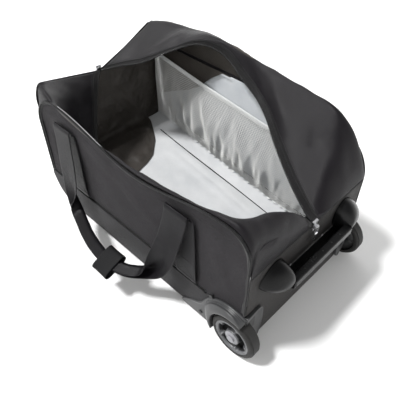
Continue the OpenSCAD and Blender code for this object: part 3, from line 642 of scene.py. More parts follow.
right_top = lambda y: float(np.interp(y, [-152, -146, -138, -122, -60, -32, -4, 6, 149, 152],
                                      [205, 228, 240, 240, 225, 206, 192, 191, 194, 192]))
ys = np.concatenate([np.linspace(-152, -40, 20), np.linspace(-36, 152, 24)])
g = end_grid(536.0, lambda y: SEAM_Z + 0.5, right_top, ys, 23, 1.0, 3.0)
cloth("wheel_end_cloth", g, SHELL, 2.4, 1, slot="shell_fabric", nodes=("wheel_end_panel",))

ts = np.linspace(0, 1, 26)
ys = np.linspace(-153, 153, 50)
g = np.zeros((len(ts), len(ys), 3))
for j, y in enumerate(ys):
    lo = 92.0 if abs(y) > 132 else 0.0
    g[:, j, 0] = 538.8
    g[:, j, 1] = y
    g[:, j, 2] = lo + (189.5 - lo) * ts
g = rumple(g, 1.1, 70.0, 25, inner(g, 3))
cloth("wheel_end_plate_cloth", g, PLATE, 1.6, 1, slot="plate_fabric", nodes=("wheel_end_plate",))
# seam roll and stitches between the stiff plate and the soft end above it
p = smooth([(540.2, y, SEAM_Z + 0.8 * math.sin(y / 30)) for y in np.linspace(-152, 152, 16)], 110)
tube("wheel_end_seam", p, 1.5, PIPING, 8, slot="piping")
q = p.copy()
q[:, 2] -= 6
q[:, 0] = 540.1
beads("wheel_end_stitches", q, (1, 0, 0), 4.2, (2.8, 0.8, 0.7), THREAD, slot="plate_fabric")

# ---------------------------------------------------------------- the two halves of the top
near_crest = [[3, -20, 252], [20, -45, 240], [41, -80, 222], [70, -110, 190], [115, -132, 175],
              [175, -138, 168],
              [260, -139, 166], [345, -137, 172], [420, -125, 205], [478, -102, 223], [505, -80, 248],
              [528, -50, 243], [540.6, -24, 214], [541.4, -6, 190.5]]
near_edge = [[3, -4, 250], [20, -25, 232], [41, -52, 183], [70, -80, 140], [115, -112, 118], [175, -120, 112],
             [260, -122, 112], [345, -120, 120], [420, -108, 150], [474, -86, 196], [500, -64, 222],
             [522, -38, 220], [535, -14, 203], [541.4, -2, 191]]
near_fold = [[3, -140, 278], [20, -143, 277], [45, -146, 272], [75, -149, 262], [115, -151, 254],
             [175, -151, 246],
             [260, -151, 246], [345, -151, 254], [420, -150, 262], [478, -147, 274], [508, -143, 273],
             [530, -141, 258], [540.6, -144, 228], [541.4, -151, 191]]
far_edge = [[3, 0, 250], [30, 30, 258], [72, 55, 272], [115, 85, 298], [165, 118, 321], [215, 136, 312],
            [275, 131, 280], [345, 105, 260], [405, 70, 230], [462, 40, 204], [512, 14, 191], [530, 6, 189],
            [541.4, 3, 190.5]]
far_fold = [[3, 146, 312], [30, 149, 318], [75, 150, 324], [120, 150, 329], [175, 150, 333], [230, 150, 330],
            [290, 150, 322], [345, 150, 315], [400, 149, 311], [455, 148, 303], [498, 147, 275],
            [528, 147, 228], [541.4, 150, 191.5]]
ACROSS = 96


def top_half(side, fold, edge, sag, bulge, crest=None):
    """Rows of the cloth from the side panel's seam, over the fold, to the zip's edge."""
    fold, edge = np.array(fold, float), np.array(edge, float)
    n = len(fold)
    xs = np.clip(smooth(fold, ACROSS)[:, 0], EDGE + 0.2, BAG_L - EDGE + 1.5)
    seam = np.stack([xs, np.full(ACROSS, side * (HALF_W - 1.0)),
                     panel_top(np.minimum(xs, 537.9), sag) + 0.6], axis=1)
    end = np.clip((xs - 536.5) / 3.0, 0, 1)
    seam[:, 2] = seam[:, 2] * (1 - end) + 191.0 * end
    crown = np.sin(np.pi * np.arange(n) / (n - 1))
    crease_line = smooth(fold, ACROSS)
    lift = seam * 0.35 + crease_line * 0.65
    lift[:, 1] = side * (HALF_W + 0.3)
    lift[:, 1] += -side * np.maximum(0, (150 - np.abs(crease_line[:, 1]))) * 0.6
    ctrl = [fold]
    way = [(t, fold * (1 - t) + edge * t) for t in (0.12, 0.35, 0.65, 1.0)]
    if crest is not None:
        crest = np.array(crest, float)
        way = [(0.3, fold * 0.72 + crest * 0.28), (0.6, fold * 0.3 + crest * 0.7), (0.85, crest),
               (1.0, crest * 0.4 + edge * 0.6 + np.array([0, 2.0, 1.0])), (1.0, edge)]
    for t, p in way:
        p[:, 2] += bulge * 4 * t * (1 - t) * crown
        ctrl.append(p)
    lines = np.array([seam, lift] + [smooth(c, ACROSS) for c in ctrl])
    rows_ = np.stack([smooth(lines[:, j], 40) for j in range(ACROSS)], axis=1)
    return rows_


near_top = top_half(-1, near_fold, near_edge, NEAR_SAG, 3, near_crest)
far_top = top_half(1, far_fold, far_edge, 0, 8)
m = inner(near_top, 4)
near_top = rumple(near_top, 2.6, 55.0, 33, m)
near_top = rumple(near_top, 1.0, 20.0, 34, m)
m = inner(far_top, 4)
far_top = rumple(far_top, 4.5, 90.0, 35, m)
far_top = rumple(far_top, 1.1, 30.0, 36, m)
for ridge in (((120, 140, 328), (60, 60, 275), 14, -4.0),
              ((250, 145, 322), (330, 110, 268), 14, 4.0),
              ((330, 146, 312), (420, 80, 240), 16, -4.5),
              ((420, 145, 300), (500, 60, 205), 16, 4.0),
              ((470, 140, 290), (530, 90, 195), 12, -3.0)):
    far_top = crease(far_top, *ridge)


def zip_strip(top, width):
    """Splits a half into its cloth and its zip tape: the tape is the last strip next to the edge."""
    out_c, out_z = [], []
    for j in range(top.shape[1]):
        line = top[:, j]
        s = along(line)
        cut = max(s[-1] - width, s[-1] * 0.5)
        out_c.append(pick(np.linspace(0, cut, 36), s, line))
        out_z.append(pick(np.linspace(cut - 1.5, s[-1], 6), s, line))
    return np.array(out_c).transpose(1, 0, 2), np.array(out_z).transpose(1, 0, 2)


ZIP_W = 13.0
top_pieces = {}
for word, top, lip in (("near", near_top, -1), ("far", far_top, 0)):
    c, z = zip_strip(top, ZIP_W)
    if lip == 0:
        c, z = c[::-1], z[::-1]
    shell = cloth("%s_top_cloth" % word, c, GUSSET, 1.1, 1, -1.0, slot="shell_fabric",
                  nodes=("%s_gusset" % word,))
    under = cloth("%s_top_lining" % word, c - normals(c) * 1.6, DARK_LINING_AND_SHADE, 0.7, 1, -1.0, slot="dark_lining")
    tape = cloth("%s_zip_tape" % word, z, TAPE, 1.0, 1, slot="zip_tape", nodes=("%s_zip_chain" % word,))
    up = normals(z)[lip]
    teeth = beads("%s_zip_coil" % word, smooth(z[lip], 260), smooth(up, 260), 2.0,
                  (1.35, 4.2, 2.6), COIL, slot="zip_tape")
    seam = z[1] if lip else z[-2]
    cord = tube("%s_zip_seam" % word, smooth(seam + up * 0.7, 200), 0.9, PIPING, 6, slot="zip_tape")
    # a row of stitches on the cloth beside the tape
    k = -2 if lip else 1
    s1 = beads("%s_zip_stitches" % word, smooth(c[k] + normals(c)[k] * 0.9, 240), smooth(normals(c)[k], 240),
               4.0, (2.7, 0.8, 0.7), THREAD, slot="shell_fabric")
    top_pieces[word] = (shell, under, tape, teeth, cord, s1, c)

# stitches in two rows below the near top edge, on the near panel
for k, drop in enumerate((19.0, 24.0)):
    xs = np.linspace(26, BAG_L - 22, 60)
    line = []
    for x in xs:
        z = float(panel_top(x, NEAR_SAG)) - drop
        j = int(np.argmin(abs(near_grid[0, :, 0] - x)))
        i = int(np.argmin(abs(near_grid[:, j, 2] - z)))
        line.append((x, near_grid[i, j, 1] - 1.5, z))
    beads("near_panel_stitches_%d" % (k + 1), smooth(line, 220), (0, -1, 0), 4.4, (3.0, 0.8, 0.7), THREAD,
          slot="shell_fabric")

# ---------------------------------------------------------------- inside
FLOOR = [(8, 84.2), (54, 84.2), (130, 71.4), (228, 54.8), (326, 38.2), (402, 25.8), (528, 25.6)]


def floor_z(x):
    return np.interp(x, [p[0] for p in FLOOR], [p[1] for p in FLOOR])


xs = np.concatenate([np.linspace(8, 54, 8), np.linspace(60, 470, 64), np.linspace(475, 532, 10)])
ys = np.linspace(-1, 1, 62)
g = np.zeros((len(ys), len(xs), 3))
for j, x in enumerate(xs):
    wide = 147.6 - 17.0 * float(np.clip((x - 455) / 12, 0, 1))
    g[:, j, 0] = x
    g[:, j, 1] = ys * wide
    g[:, j, 2] = floor_z(x) + 0.9
edge_up = np.clip((np.abs(g[..., 1]) - 132) / 14, 0, 1) ** 2 * 5
g[..., 2] += edge_up * np.clip((460 - g[..., 0]) / 40, 0, 1)
for y0, h, w in ((98, -2.2, 3.0), (82, 1.8, 7.0), (62, 2.0, 8.0), (30, 1.2, 14.0), (-20, 1.3, 18.0),
                 (-70, -1.2, 12.0)):
    wob = y0 + 3.0 * np.sin(g[..., 0] / 90.0 + y0)
    g[..., 2] += h * np.exp(-((g[..., 1] - wob) / w) ** 2) * np.clip((g[..., 0] - 105) / 70, 0, 1)
g = rumple(g, 1.3, 70.0, 41, inner(g, 3) * np.clip((g[..., 0] - 90) / 60, 0, 1))
floor_pad = cloth("floor_pad_cover", g, LINING, 3.0, 1, -1.0, slot="lining_fabric", nodes=("floor_pad",))
line = [(x, 98 + 3.0 * math.sin(x / 90.0 + 98), float(floor_z(x)) + 0.1) for x in np.linspace(66, 392, 30)]
tube("floor_seam", smooth(line, 90), np.linspace(1.7, 0.9, 90), TAPE, 6, slot="zip_tape")

far_lo = lambda x: float(np.interp(x, [8, 60, 400, 530], [86, 86, 29, 28]))
for side, sag, word, seed in ((-1, 36, "near", 43), (1, 0, "far", 45)):
    xs = np.concatenate([np.linspace(8, 70, 10), np.linspace(76, 480, 56), np.linspace(486, 531, 9)])
    ts = np.linspace(0, 1, 26)
    g = np.zeros((len(ts), len(xs), 3))
    for j, x in enumerate(xs):
        lo = max(far_lo(x), float(wheel_arch(x, far_lo(x))) + 2)
        hi = float(panel_top(x, sag)) - 4
        g[:, j, 0] = x
        g[:, j, 1] = IN_W - 1.4 - 4.0 * np.sin(np.pi * ts) * math.sin(math.pi * j / (len(xs) - 1)) ** 0.5
        g[:, j, 2] = lo + (hi - lo) * ts
    g = rumple(g, 2.6, 60.0, seed, inner(g, 3))
    g = rumple(g, 1.0, 22.0, seed + 1, inner(g, 3))
    g[..., 1] = np.minimum(g[..., 1], IN_W - 0.8)
    g[..., 1] *= side
    if side < 0:
        g = g[::-1]
    cloth("%s_wall_lining_cloth" % word, g, WALL_LINING, 0.8, 1, slot="lining_fabric",
              nodes=("%s_wall_lining" % word,))
# the dark lining of the handle end runs down the wall; its stretch over the first part of the floor, out to
# the edge of the shade there, is painted shadow
def apron_end_at_shade_edge(y):
    return float(np.interp(y, [-147, -120, -60, 0, 25, 45, 62, 80, 95, 104, 125, 147],
                           [170, 160, 143, 128, 118, 100, 84, 58, 34, 20, 14, 12]))


ys = np.concatenate([np.linspace(-146.5, 100, 66), np.linspace(103, 146.5, 14)])
top = lambda y: float(np.interp(y, [-147, -60, 0, 100, 147], [262, 256, 246, 268, 292]))
g = np.zeros((70, len(ys), 3))
for j, y in enumerate(ys):
    e = apron_end_at_shade_edge(y)
    way = [(1.2, y, top(y)), (2.6, y, 200), (3.0, y, 140), (5.0, y, 100), (12.0, y, 88.5)]
    # past the wall the sheet runs over the floor out to the edge of the shade: this stretch is painted shadow
    if e > 24:
        for k in (0.35, 0.7, 1.0):
            x = 12 + (e - 12) * k
            way.append((x, y, float(floor_z(x)) + 3.2 * (1 - k) + 1.8))
    g[:, j] = smooth(way, 70)
wave_mask = inner(g, 5)
g = rumple(g, 7.0, 52.0, 47, wave_mask)
g = rumple(g, 3.4, 24.0, 48, wave_mask)
g = rumple(g, 1.2, 10.0, 49, inner(g, 3))
for ridge in (((4, -6, 240), (6, 58, 124), 7, 6.0),
              ((6, 58, 124), (14, 92, 97), 6, 5.0),
              ((5, -30, 200), (40, -30, 90), 8, 6.0),
              ((5, 10, 150), (60, 0, 84), 8, 6.0),
              ((20, -80, 95), (110, -40, 78), 9, 6.0),
              ((5, -90, 190), (30, -100, 92), 9, 5.0)):
    g = crease(g, *ridge)
g[..., 0] = np.maximum(g[..., 0], 0.5)
rest = np.clip((g[..., 0] - 12) / 20, 0, 1)
g[..., 2] = np.maximum(g[..., 2], floor_z(g[..., 0]) + 1.6 + 1.8 * rest)
end_lining = cloth("handle_end_lining_and_floor_shade", g, DARK_LINING_AND_SHADE, 0.8, 1, slot="dark_lining",
                   nodes=("handle_end_lining",))
# painted shade: a dark sheet on the upper left of the far wall, where there is only the shade cast by the far
# top half's overhang; its lower edge follows the edge of that shadow
xs = np.linspace(4, 232, 60)
shade_low_edge = np.interp(xs, [4, 20, 63, 110, 147, 177, 210, 232], [132, 140, 164, 186, 211, 241, 266, 272])
high_edge = np.array([float(panel_top(x, 0)) - 0.5 for x in xs])
ts = np.linspace(0, 1, 20)[:, None]
g = np.zeros((20, 60, 3))
g[..., 0] = xs
g[..., 2] = np.minimum(shade_low_edge, high_edge - 2) * (1 - ts) + high_edge * ts
g[..., 1] = 143.6
g = rumple(g, 1.6, 35.0, 57, inner(g, 3))
g[..., 1] = np.clip(g[..., 1], 141.2, 144.6)
far_wall_shade_sheet = cloth("far_wall_painted_shade_sheet", g, DARK_LINING_AND_SHADE, 0.6, 1, slot="dark_lining")
p = smooth([(5.0, 146.6, 292), (5.5, 146.6, 200), (6.0, 146.4, 88)], 60)
tube("handle_end_corner_binding", p, 2.4, TAPE, 8, slot="zip_tape")

# net pocket on the far wall: a real net, gathered on its hem and at its foot
stations = smooth([[12, 0, 240], [90, 0, 228], [170, 0, 216], [250, 0, 207], [330, 0, 198], [410, 0, 196],
                   [455, 0, 198]], 165)
ts = np.linspace(0, 1, 57)
g = np.zeros((len(ts), len(stations), 3))
for j, (x, _, hem_z) in enumerate(stations):
    full = math.sin(math.pi * np.clip((x - 12) / 443, 0, 1)) ** 0.45
    foot = max(31.0, 96.5 - 0.168 * x)
    g[:, j, 0] = x
    g[:, j, 2] = hem_z + (foot - hem_z) * ts
    fold = np.array([noise.noise(Vector((x / 24.0 - t * 1.6, t * 1.8, 3.1)))
                     + 0.5 * noise.noise(Vector((x / 12.0 + t * 1.5, t * 3.0, 8.7))) for t in ts])
    sag_ = np.sin(np.pi * ts ** 1.15)
    g[:, j, 1] = IN_W - 12 - 20 * full * sag_ - 5 * ts * full - 15.0 * fold * full * (0.85 * sag_ + 0.14 * ts)
    g[:, j, 2] += 6.0 * fold * np.sin(np.pi * ts) * full
    g[:, j, 0] += 4.0 * fold * sag_ * full
g[..., 1] = np.minimum(g[..., 1], IN_W - 8.0)
n, m_ = g.shape[:2]
net_u, net_v = (w / 1000 for w in lengths(g))
quads = [(i - 1, j, i, j + 1, i + 1, j, i, j - 1) for i in range(1, n - 1)
         for j in range(1, m_ - 1) if (i + j) % 2]
used = sorted({(q[k], q[k + 1]) for q in quads for k in (0, 2, 4, 6)})
index = {c_: k for k, c_ in enumerate(used)}
net = put("mesh_pocket_net", [g[c_] for c_ in used],
          [[index[(q[k], q[k + 1])] for k in (0, 2, 4, 6)] for q in quads], NET,
          [(net_u[c_], net_v[c_]) for c_ in used], slot="net", nodes=("mesh_pocket",))
w = net.modifiers.new("net", "WIREFRAME")
w.thickness = 0.0014
w.use_even_offset = False
w.use_boundary = True
top_line = g[0]
p = np.stack([top_line + np.array([0, 0.2, k]) for k in (9.0, 5.0, 1.0, -2.0)])
p[..., 1] += np.array([0.6, -0.4, -0.4, 0.6])[:, None]
hem = cloth("mesh_pocket_hem", p, HEM, 1.4, 1, slot="net", nodes=("mesh_hem",))
foot_line = g[-1] + np.array([0, -1.0, 0.8])
wavy = foot_line.copy()
wavy[:, 1] -= 2.0 * np.sin(foot_line[:, 0] / 2.3) + 2.0
wavy[:, 2] += 1.5 * np.cos(foot_line[:, 0] / 3.1)
ruffle = cloth("mesh_pocket_ruffle", np.stack([foot_line + np.array([0, 3, 2.0]), foot_line, wavy]), HEM,
               0.8, 1, slot="net")

# ---------------------------------------------------------------- carry handles
HINGE_Y, HINGE_Z = 160.5, 231.0
LOOP = [[96, -165.0, 222], [99, -168, 190], [103, -173, 150], [107, -177, 110], [113, -181, 80],
        [128, -187, 62],
        [155, -196, 57], [190, -208, 56], [230, -218, 58], [275, -222, 60], [312, -212, 59], [340, -194, 64],
        [360, -184, 84], [372, -178, 115], [382, -173, 150], [390, -168, 190], [397, -165.0, 222]]
FOLDED = [0, 0, 0.02, 0.15, 0.5, 0.95, 1, 1, 1, 1, 1, 0.92, 0.5, 0.15, 0.02, 0, 0]


def strap_section(f):
    """Half of a 50 mm strip is bent over the other half as f goes from 0 to 1: points across and out."""
    s = np.linspace(-25, 25, 19)
    turn = f * (math.pi / 2) * np.tanh(s / 4.5)
    ds = np.diff(s)
    mid = (turn[1:] + turn[:-1]) / 2
    a = np.concatenate([[0], np.cumsum(np.cos(mid) * ds)])
    n = np.concatenate([[0], np.cumsum(np.sin(mid) * ds)])
    return np.stack([a - a.mean(), n - (n.min() + n.max()) / 2], axis=1)


def handle(side, reach, word, body, seed):
    """The loose loop of webbing, from one rolled fold to the other."""
    pts = np.array(LOOP, float)
    pts[:, 1] = -HINGE_Y + reach * (pts[:, 1] + HINGE_Y)
    roll = [(96, -158.4, 224), (96, -158.2, 231), (96, -160.6, 235.6), (96, -164.4, 231.5)]
    roll2 = [(397, -164.4, 231.5), (397, -160.6, 235.6), (397, -158.2, 231), (397, -158.4, 224)]
    line = np.concatenate([roll, pts, roll2])
    fold = np.concatenate([[0] * 4, FOLDED, [0] * 4])
    count = 190
    both = curve(np.concatenate([line, fold[:, None]], axis=1), 8)
    s = along(both[:, :3])
    w = np.linspace(0, s[-1], count)
    mid = pick(w, s, both[:, :3])
    f = np.clip(np.interp(w, s, both[:, 3]), 0, 1)
    d = unit(np.gradient(mid, axis=0))
    a = np.cross(d, np.array([0.0, 1.0, 0.0]))
    # near the rolls the strip keeps its width along x
    for i in range(count):
        if f[i] < 0.02:
            a[i] = (1, 0, 0) if mid[i, 0] < 250 else (-1, 0, 0)
    a = unit(a)
    for _ in range(3):
        a[1:-1] = unit(a[:-2] + 2 * a[1:-1] + a[2:])
    n = unit(np.cross(d, a))
    tilt = np.radians(20) * f
    a2 = a * np.cos(tilt)[:, None] + n * np.sin(tilt)[:, None]
    n2 = n * np.cos(tilt)[:, None] - a * np.sin(tilt)[:, None]
    g = np.zeros((19, count, 3))
    for i in range(count):
        sec = strap_section(f[i])
        g[:, i] = mid[i] + sec[:, :1] * a2[i] + sec[:, 1:] * n2[i]
    fade = np.minimum(np.arange(count), np.arange(count)[::-1]) / 20
    g = rumple(g, 1.0, 40.0, seed, np.clip(fade, 0, 1)[None, :])
    g[..., 2] = np.maximum(g[..., 2], 33.0)
    g[..., 1] = np.minimum(g[..., 1], -157.6)
    if side > 0:
        g[..., 1] *= -1
        g = g[::-1]
    cloth("%s_handle_webbing" % word, g.transpose(1, 0, 2), WEBBING, 1.9, 1, slot="webbing", body=body,
          nodes=("%s_handle_strap" % word,))


handle(-1, 1.0, "near", "near_handle", 61)
handle(1, 1.14, "far", "far_handle", 62)

# the plies sewn flat to the panels, with a crossed box of stitches at their feet
BOX_LOW, BOX_HIGH, BOX_Y = 88, 128, 158.2
for side, word in ((-1, "near"), (1, "far")):
    for x0, end in ((102.0, "handle_end"), (405.0, "wheel_end")):
        ts = np.linspace(0, 1, 30)
        across = np.linspace(-25, 25, 9)
        g = np.zeros((30, 9, 3))
        for i, t in enumerate(ts):
            g[i, :, 0] = x0 + 4 * (1 - t) + across
            g[i, :, 1] = -156.8 - 0.6 * math.sin(t * 7)
            g[i, :, 2] = SKIRT_H + 4 + (HINGE_Z - 1 - SKIRT_H - 4) * t
        g[..., 1] *= -side
        if side > 0:
            g = g[:, ::-1]
        cloth("%s_sewn_webbing_%s" % (word, end), g, WEBBING, 1.8, 1, slot="webbing",
              nodes=("%s_webbing" % word,) if end == "handle_end" else ())
        a, b = x0 + 4 - 20, x0 + 4 + 20
        box = [(a, BOX_LOW), (b, BOX_LOW), (b, BOX_HIGH), (a, BOX_HIGH), (a, BOX_LOW), (b, BOX_HIGH)]
        p = even(np.array([(x, side * BOX_Y, z) for x, z in box]), 90)
        beads("%s_box_stitch_%s" % (word, end), p, (0, side, 0), 3.4, (2.4, 0.8, 0.7), THREAD, slot="webbing")
        q = even(np.array([(b, side * BOX_Y, BOX_LOW), (a, side * BOX_Y, BOX_HIGH)]), 40)
        beads("%s_cross_stitch_%s" % (word, end), q, (0, side, 0), 3.4, (2.4, 0.8, 0.7), THREAD,
              slot="webbing")

# hook-and-loop wrap: a flat sleeve whose flap overlaps itself
ang = np.linspace(math.radians(-70), math.radians(310), 60)
half_y, half_z = 24.5, 6.2
prof = []
for k, t in enumerate(ang):
    grow = 1.0 + 0.10 * np.clip((k - 44) / 16, 0, 1)
    c, s = math.cos(t), math.sin(t)
    prof.append((half_y * math.copysign(abs(c) ** 0.45, c) * (1 + 0.02 * grow),
                 half_z * math.copysign(abs(s) ** 0.75, s) * grow))
prof = even(np.array([(0, a_, b_) for a_, b_ in prof]), 60)
tilt = math.radians(23)
xs = np.linspace(-20, 20, 12)
g = np.zeros((12, 60, 3))
for i, x in enumerate(xs):
    y = prof[:, 1] * (1 + 0.03 * (x / 20) ** 2)
    z = prof[:, 2] * (1 + 0.18 * (x / 20) ** 2)
    g[i, :, 0] = 275 + x
    g[i, :, 1] = -222.5 + y * math.cos(tilt) - z * math.sin(tilt)
    g[i, :, 2] = 58.6 + y * math.sin(tilt) + z * math.cos(tilt)
g = rumple(g, 0.7, 22.0, 63)
wrap = cloth("near_handle_wrap_cloth", g, WRAP, 1.7, 1, slot="wrap_cloth", body="near_handle",
             nodes=("near_handle_wrap",))

# ---------------------------------------------------------------- grab handle on the wheel end
def dome(side):
    """One glossy bulb: an egg-shaped foot on the end plate, crowned towards the bar."""
    rings, spokes = 18, 56
    th = np.linspace(0, 2 * np.pi, spokes, endpoint=False)
    verts, faces = [], []
    for i in range(rings + 1):
        rho = i / rings
        for t in th:
            c, s = math.cos(t), math.sin(t)
            oy = 93.0 + (37.0 if c > 0 else 24.0) * c
            oz = 149.0 + 31.0 * s * (1 - 0.45 * max(c, 0) ** 2)
            y = 84.0 * (1 - rho) + oy * rho
            z = 148.0 * (1 - rho) + oz * rho
            h = 33.0 * (1 - rho ** 2.3) ** 0.62
            verts.append((540.3 + h, side * y, z))
    for i in range(rings):
        for k in range(spokes):
            q = (k + 1) % spokes
            f = [i * spokes + k, (i + 1) * spokes + k, (i + 1) * spokes + q, i * spokes + q]
            faces.append(f if side > 0 else f[::-1])
    return verts, faces


def box_part(name, lo, hi, bevel):
    """A glossy block with rounded edges."""
    v = [(x, y, z) for x in (lo[0], hi[0]) for y in (lo[1], hi[1]) for z in (lo[2], hi[2])]
    f = [(0, 1, 3, 2), (4, 6, 7, 5), (0, 4, 5, 1), (2, 3, 7, 6), (0, 2, 6, 4), (1, 5, 7, 3)]
    o = put(name, v, f, GLOSS, None, slot="gloss_black")
    m = o.modifiers.new("edges", "BEVEL")
    m.width = bevel / 1000.0
    m.segments = 4
    m.limit_method = "NONE"
    o.modifiers.new("normals", "WEIGHTED_NORMAL")


v, f = dome(1)
put("grab_handle_far_dome", v, f, GLOSS, None, slot="gloss_black", nodes=("grab_handle",))
v, f = dome(-1)
put("grab_handle_near_dome", v, f, GLOSS, None, slot="gloss_black")
box_part("grab_handle_bar", (560, -80, 130), (575, 80, 147), 3.0)
box_part("grab_handle_lip", (541, -80, 123.5), (572, 80, 128), 1.6)
box_part("grab_handle_web", (565, -78, 126), (571.5, 78, 133), 1.0)
# painted shade: flat near-black discs on the bar's top stand for the dark insides of the drain holes
turn = np.linspace(0, 2 * np.pi, 20, endpoint=False)
verts = [(568 + 1.7 * math.cos(w_), y + 1.7 * math.sin(w_), 147.15) for y in (-50, -25, 0, 25, 50)
         for w_ in turn]
faces = [list(range(20 * k, 20 * k + 20)) for k in range(5)]
put("grab_handle_drain_holes", verts, faces, moulded("painted_hole_shade", (0.002, 0.002, 0.002), 0.9, 0), None,
    slot="gloss_black", flat=True)

# ---------------------------------------------------------------- wheel housings and rims
def at_wheel(r, deg, y):
    w = math.radians(deg)
    return (WHEEL_X + r * math.cos(w), y, WHEEL_Z + r * math.sin(w))


FLANGE_TOP = [(397, 3), (403, 10), (415, 20), (430, 30), (441, 37), (449, 46), (456, 60), (464, 72),
              (482, 85), (503, 93), (520, 94), (535, 92), (544.6, 90)]
FLANGE_LOW = [(398, -1), (405, -1), (418, -1), (434, -1), (450, -1), (466, -1), (476, 8), (476.5, 30),
              (480, 52), (489, 68), (505, 81), (527, 86), (541, 84)]


def wheel_housing(side, word):
    top, low = (smooth([(x, 0, z) for x, z in line], 120) for line in (FLANGE_TOP, FLANGE_LOW))
    mixes = np.concatenate([[0, 0, 0.02, 0.05], np.linspace(0.09, 1, 20)])
    outs = np.concatenate([[-154.2, -157.2, -158.6, -158.4], np.full(20, -157.6)])
    g = np.stack([top * (1 - k) + low * k + np.array([0, y, 0]) for k, y in zip(mixes, outs)])
    g = mirrored(g, side)
    cloth("%s_housing_flange" % word, g, HOUSING, 1.6, 1, slot="housing_plastic",
          nodes=("%s_wheel_housing" % word,))
    # the fender: fluted next to the flange, smooth where it curls in round the wheel
    angles = np.linspace(205, 71, 90)
    rows_ = []
    for w in angles:
        rc = float(np.interp(w, [71, 78, 92, 108, 130, 146, 162, 172, 185, 199, 205],
                             [51.0, 53.5, 57, 60, 64, 66, 67.5, 66, 62, 55.5, 50.4]))
        yc = float(np.interp(w, [71, 78, 92, 108, 130, 146, 162, 205],
                             [170.4, 169.6, 168, 167, 166, 165, 163.5, 163]))
        rf = float(np.interp(w, [71, 80, 97, 112, 133, 151, 161, 172, 205],
                             [52, 56.5, 59.5, 62.5, 67, 72, 74, 66.5, 51]))
        prof = [(max(rf, rc + 0.4) - 0.6, 157.4)]
        for k in range(1, 13):
            t = k / 13
            flute = -0.75 * abs(math.sin(3.5 * math.pi * t)) * min(1.0, abs(rf - rc) / 3 + 0.25)
            flute *= 80 < w < 172
            prof.append((max(rf, rc + 0.4) * (1 - t) + rc * t + flute * 0.7,
                         157.4 * (1 - t) + yc * t + flute))
        prof += [(rc + 0.3, yc + 0.2), (rc - 0.6, yc + 0.9),
                 (rc * 0.7 + 50.2 * 0.3, yc * 0.5 + 171.4 * 0.5 + 0.5),
                 (rc * 0.35 + 50.2 * 0.65, 171.4), (50.4, 171.6), (49.6, 171.2), (49.2, 169.5),
                 (49.2, 158), (49.3, 140)]
        rows_.append([at_wheel(r, w, -y) for r, y in prof])
    g = mirrored(np.array(rows_).transpose(1, 0, 2), side)
    cloth("%s_housing_fender" % word, g, HOUSING, 1.5, 1, slot="housing_plastic")
    # the dark well the wheel turns in
    g = np.array([[at_wheel(r, w, -y) for w in np.linspace(206, 20, 60)]
                  for r, y in ((50.6, 158), (50.6, 134.5), (49, 133.6), (30, 133.6), (6, 133.6))])
    g[..., 2] = np.maximum(g[..., 2], -1.0)
    g[..., 0] = np.minimum(g[..., 0], 543.5)
    g = mirrored(g, side)
    cloth("%s_housing_well" % word, g, BLACK, 1.5, 0, slot="housing_plastic")
    # corner guard on the wheel end, with a raised rim
    ring = [(-157.5, 88), (-152, 91.5), (-142, 93), (-128, 95.5), (-119, 92), (-115.5, 82), (-113.5, 64),
            (-114, 46),
            (-120, 12), (-128, 2), (-134, 8), (-141, 28), (-147, 50), (-153, 72)]
    edge = even(curve(np.array([(0, y, z) for y, z in ring + ring[:1]], float), 6), 90)[:-1]
    mid = edge.mean(axis=0)
    rings = []
    for k, x in ((1.0, 540.2), (1.0, 544.4), (0.985, 545.6), (0.955, 545.6), (0.93, 544.6), (0.8, 544.2),
                 (0.4, 544.2), (0.02, 544.2)):
        q = mid + (edge - mid) * k
        q[:, 0] = x
        rings.append(np.concatenate([q, q[:1]]))
    g = mirrored(np.array(rings), side, False)
    cloth("%s_corner_guard" % word, g, HOUSING, 0, 1, slot="housing_plastic")


BEAN_R, BEAN_HALF, BEAN_ROUND = 22.3, 8.0, 5.6      # the openings: middle radius, half height, corners
HUB_R = 13.2


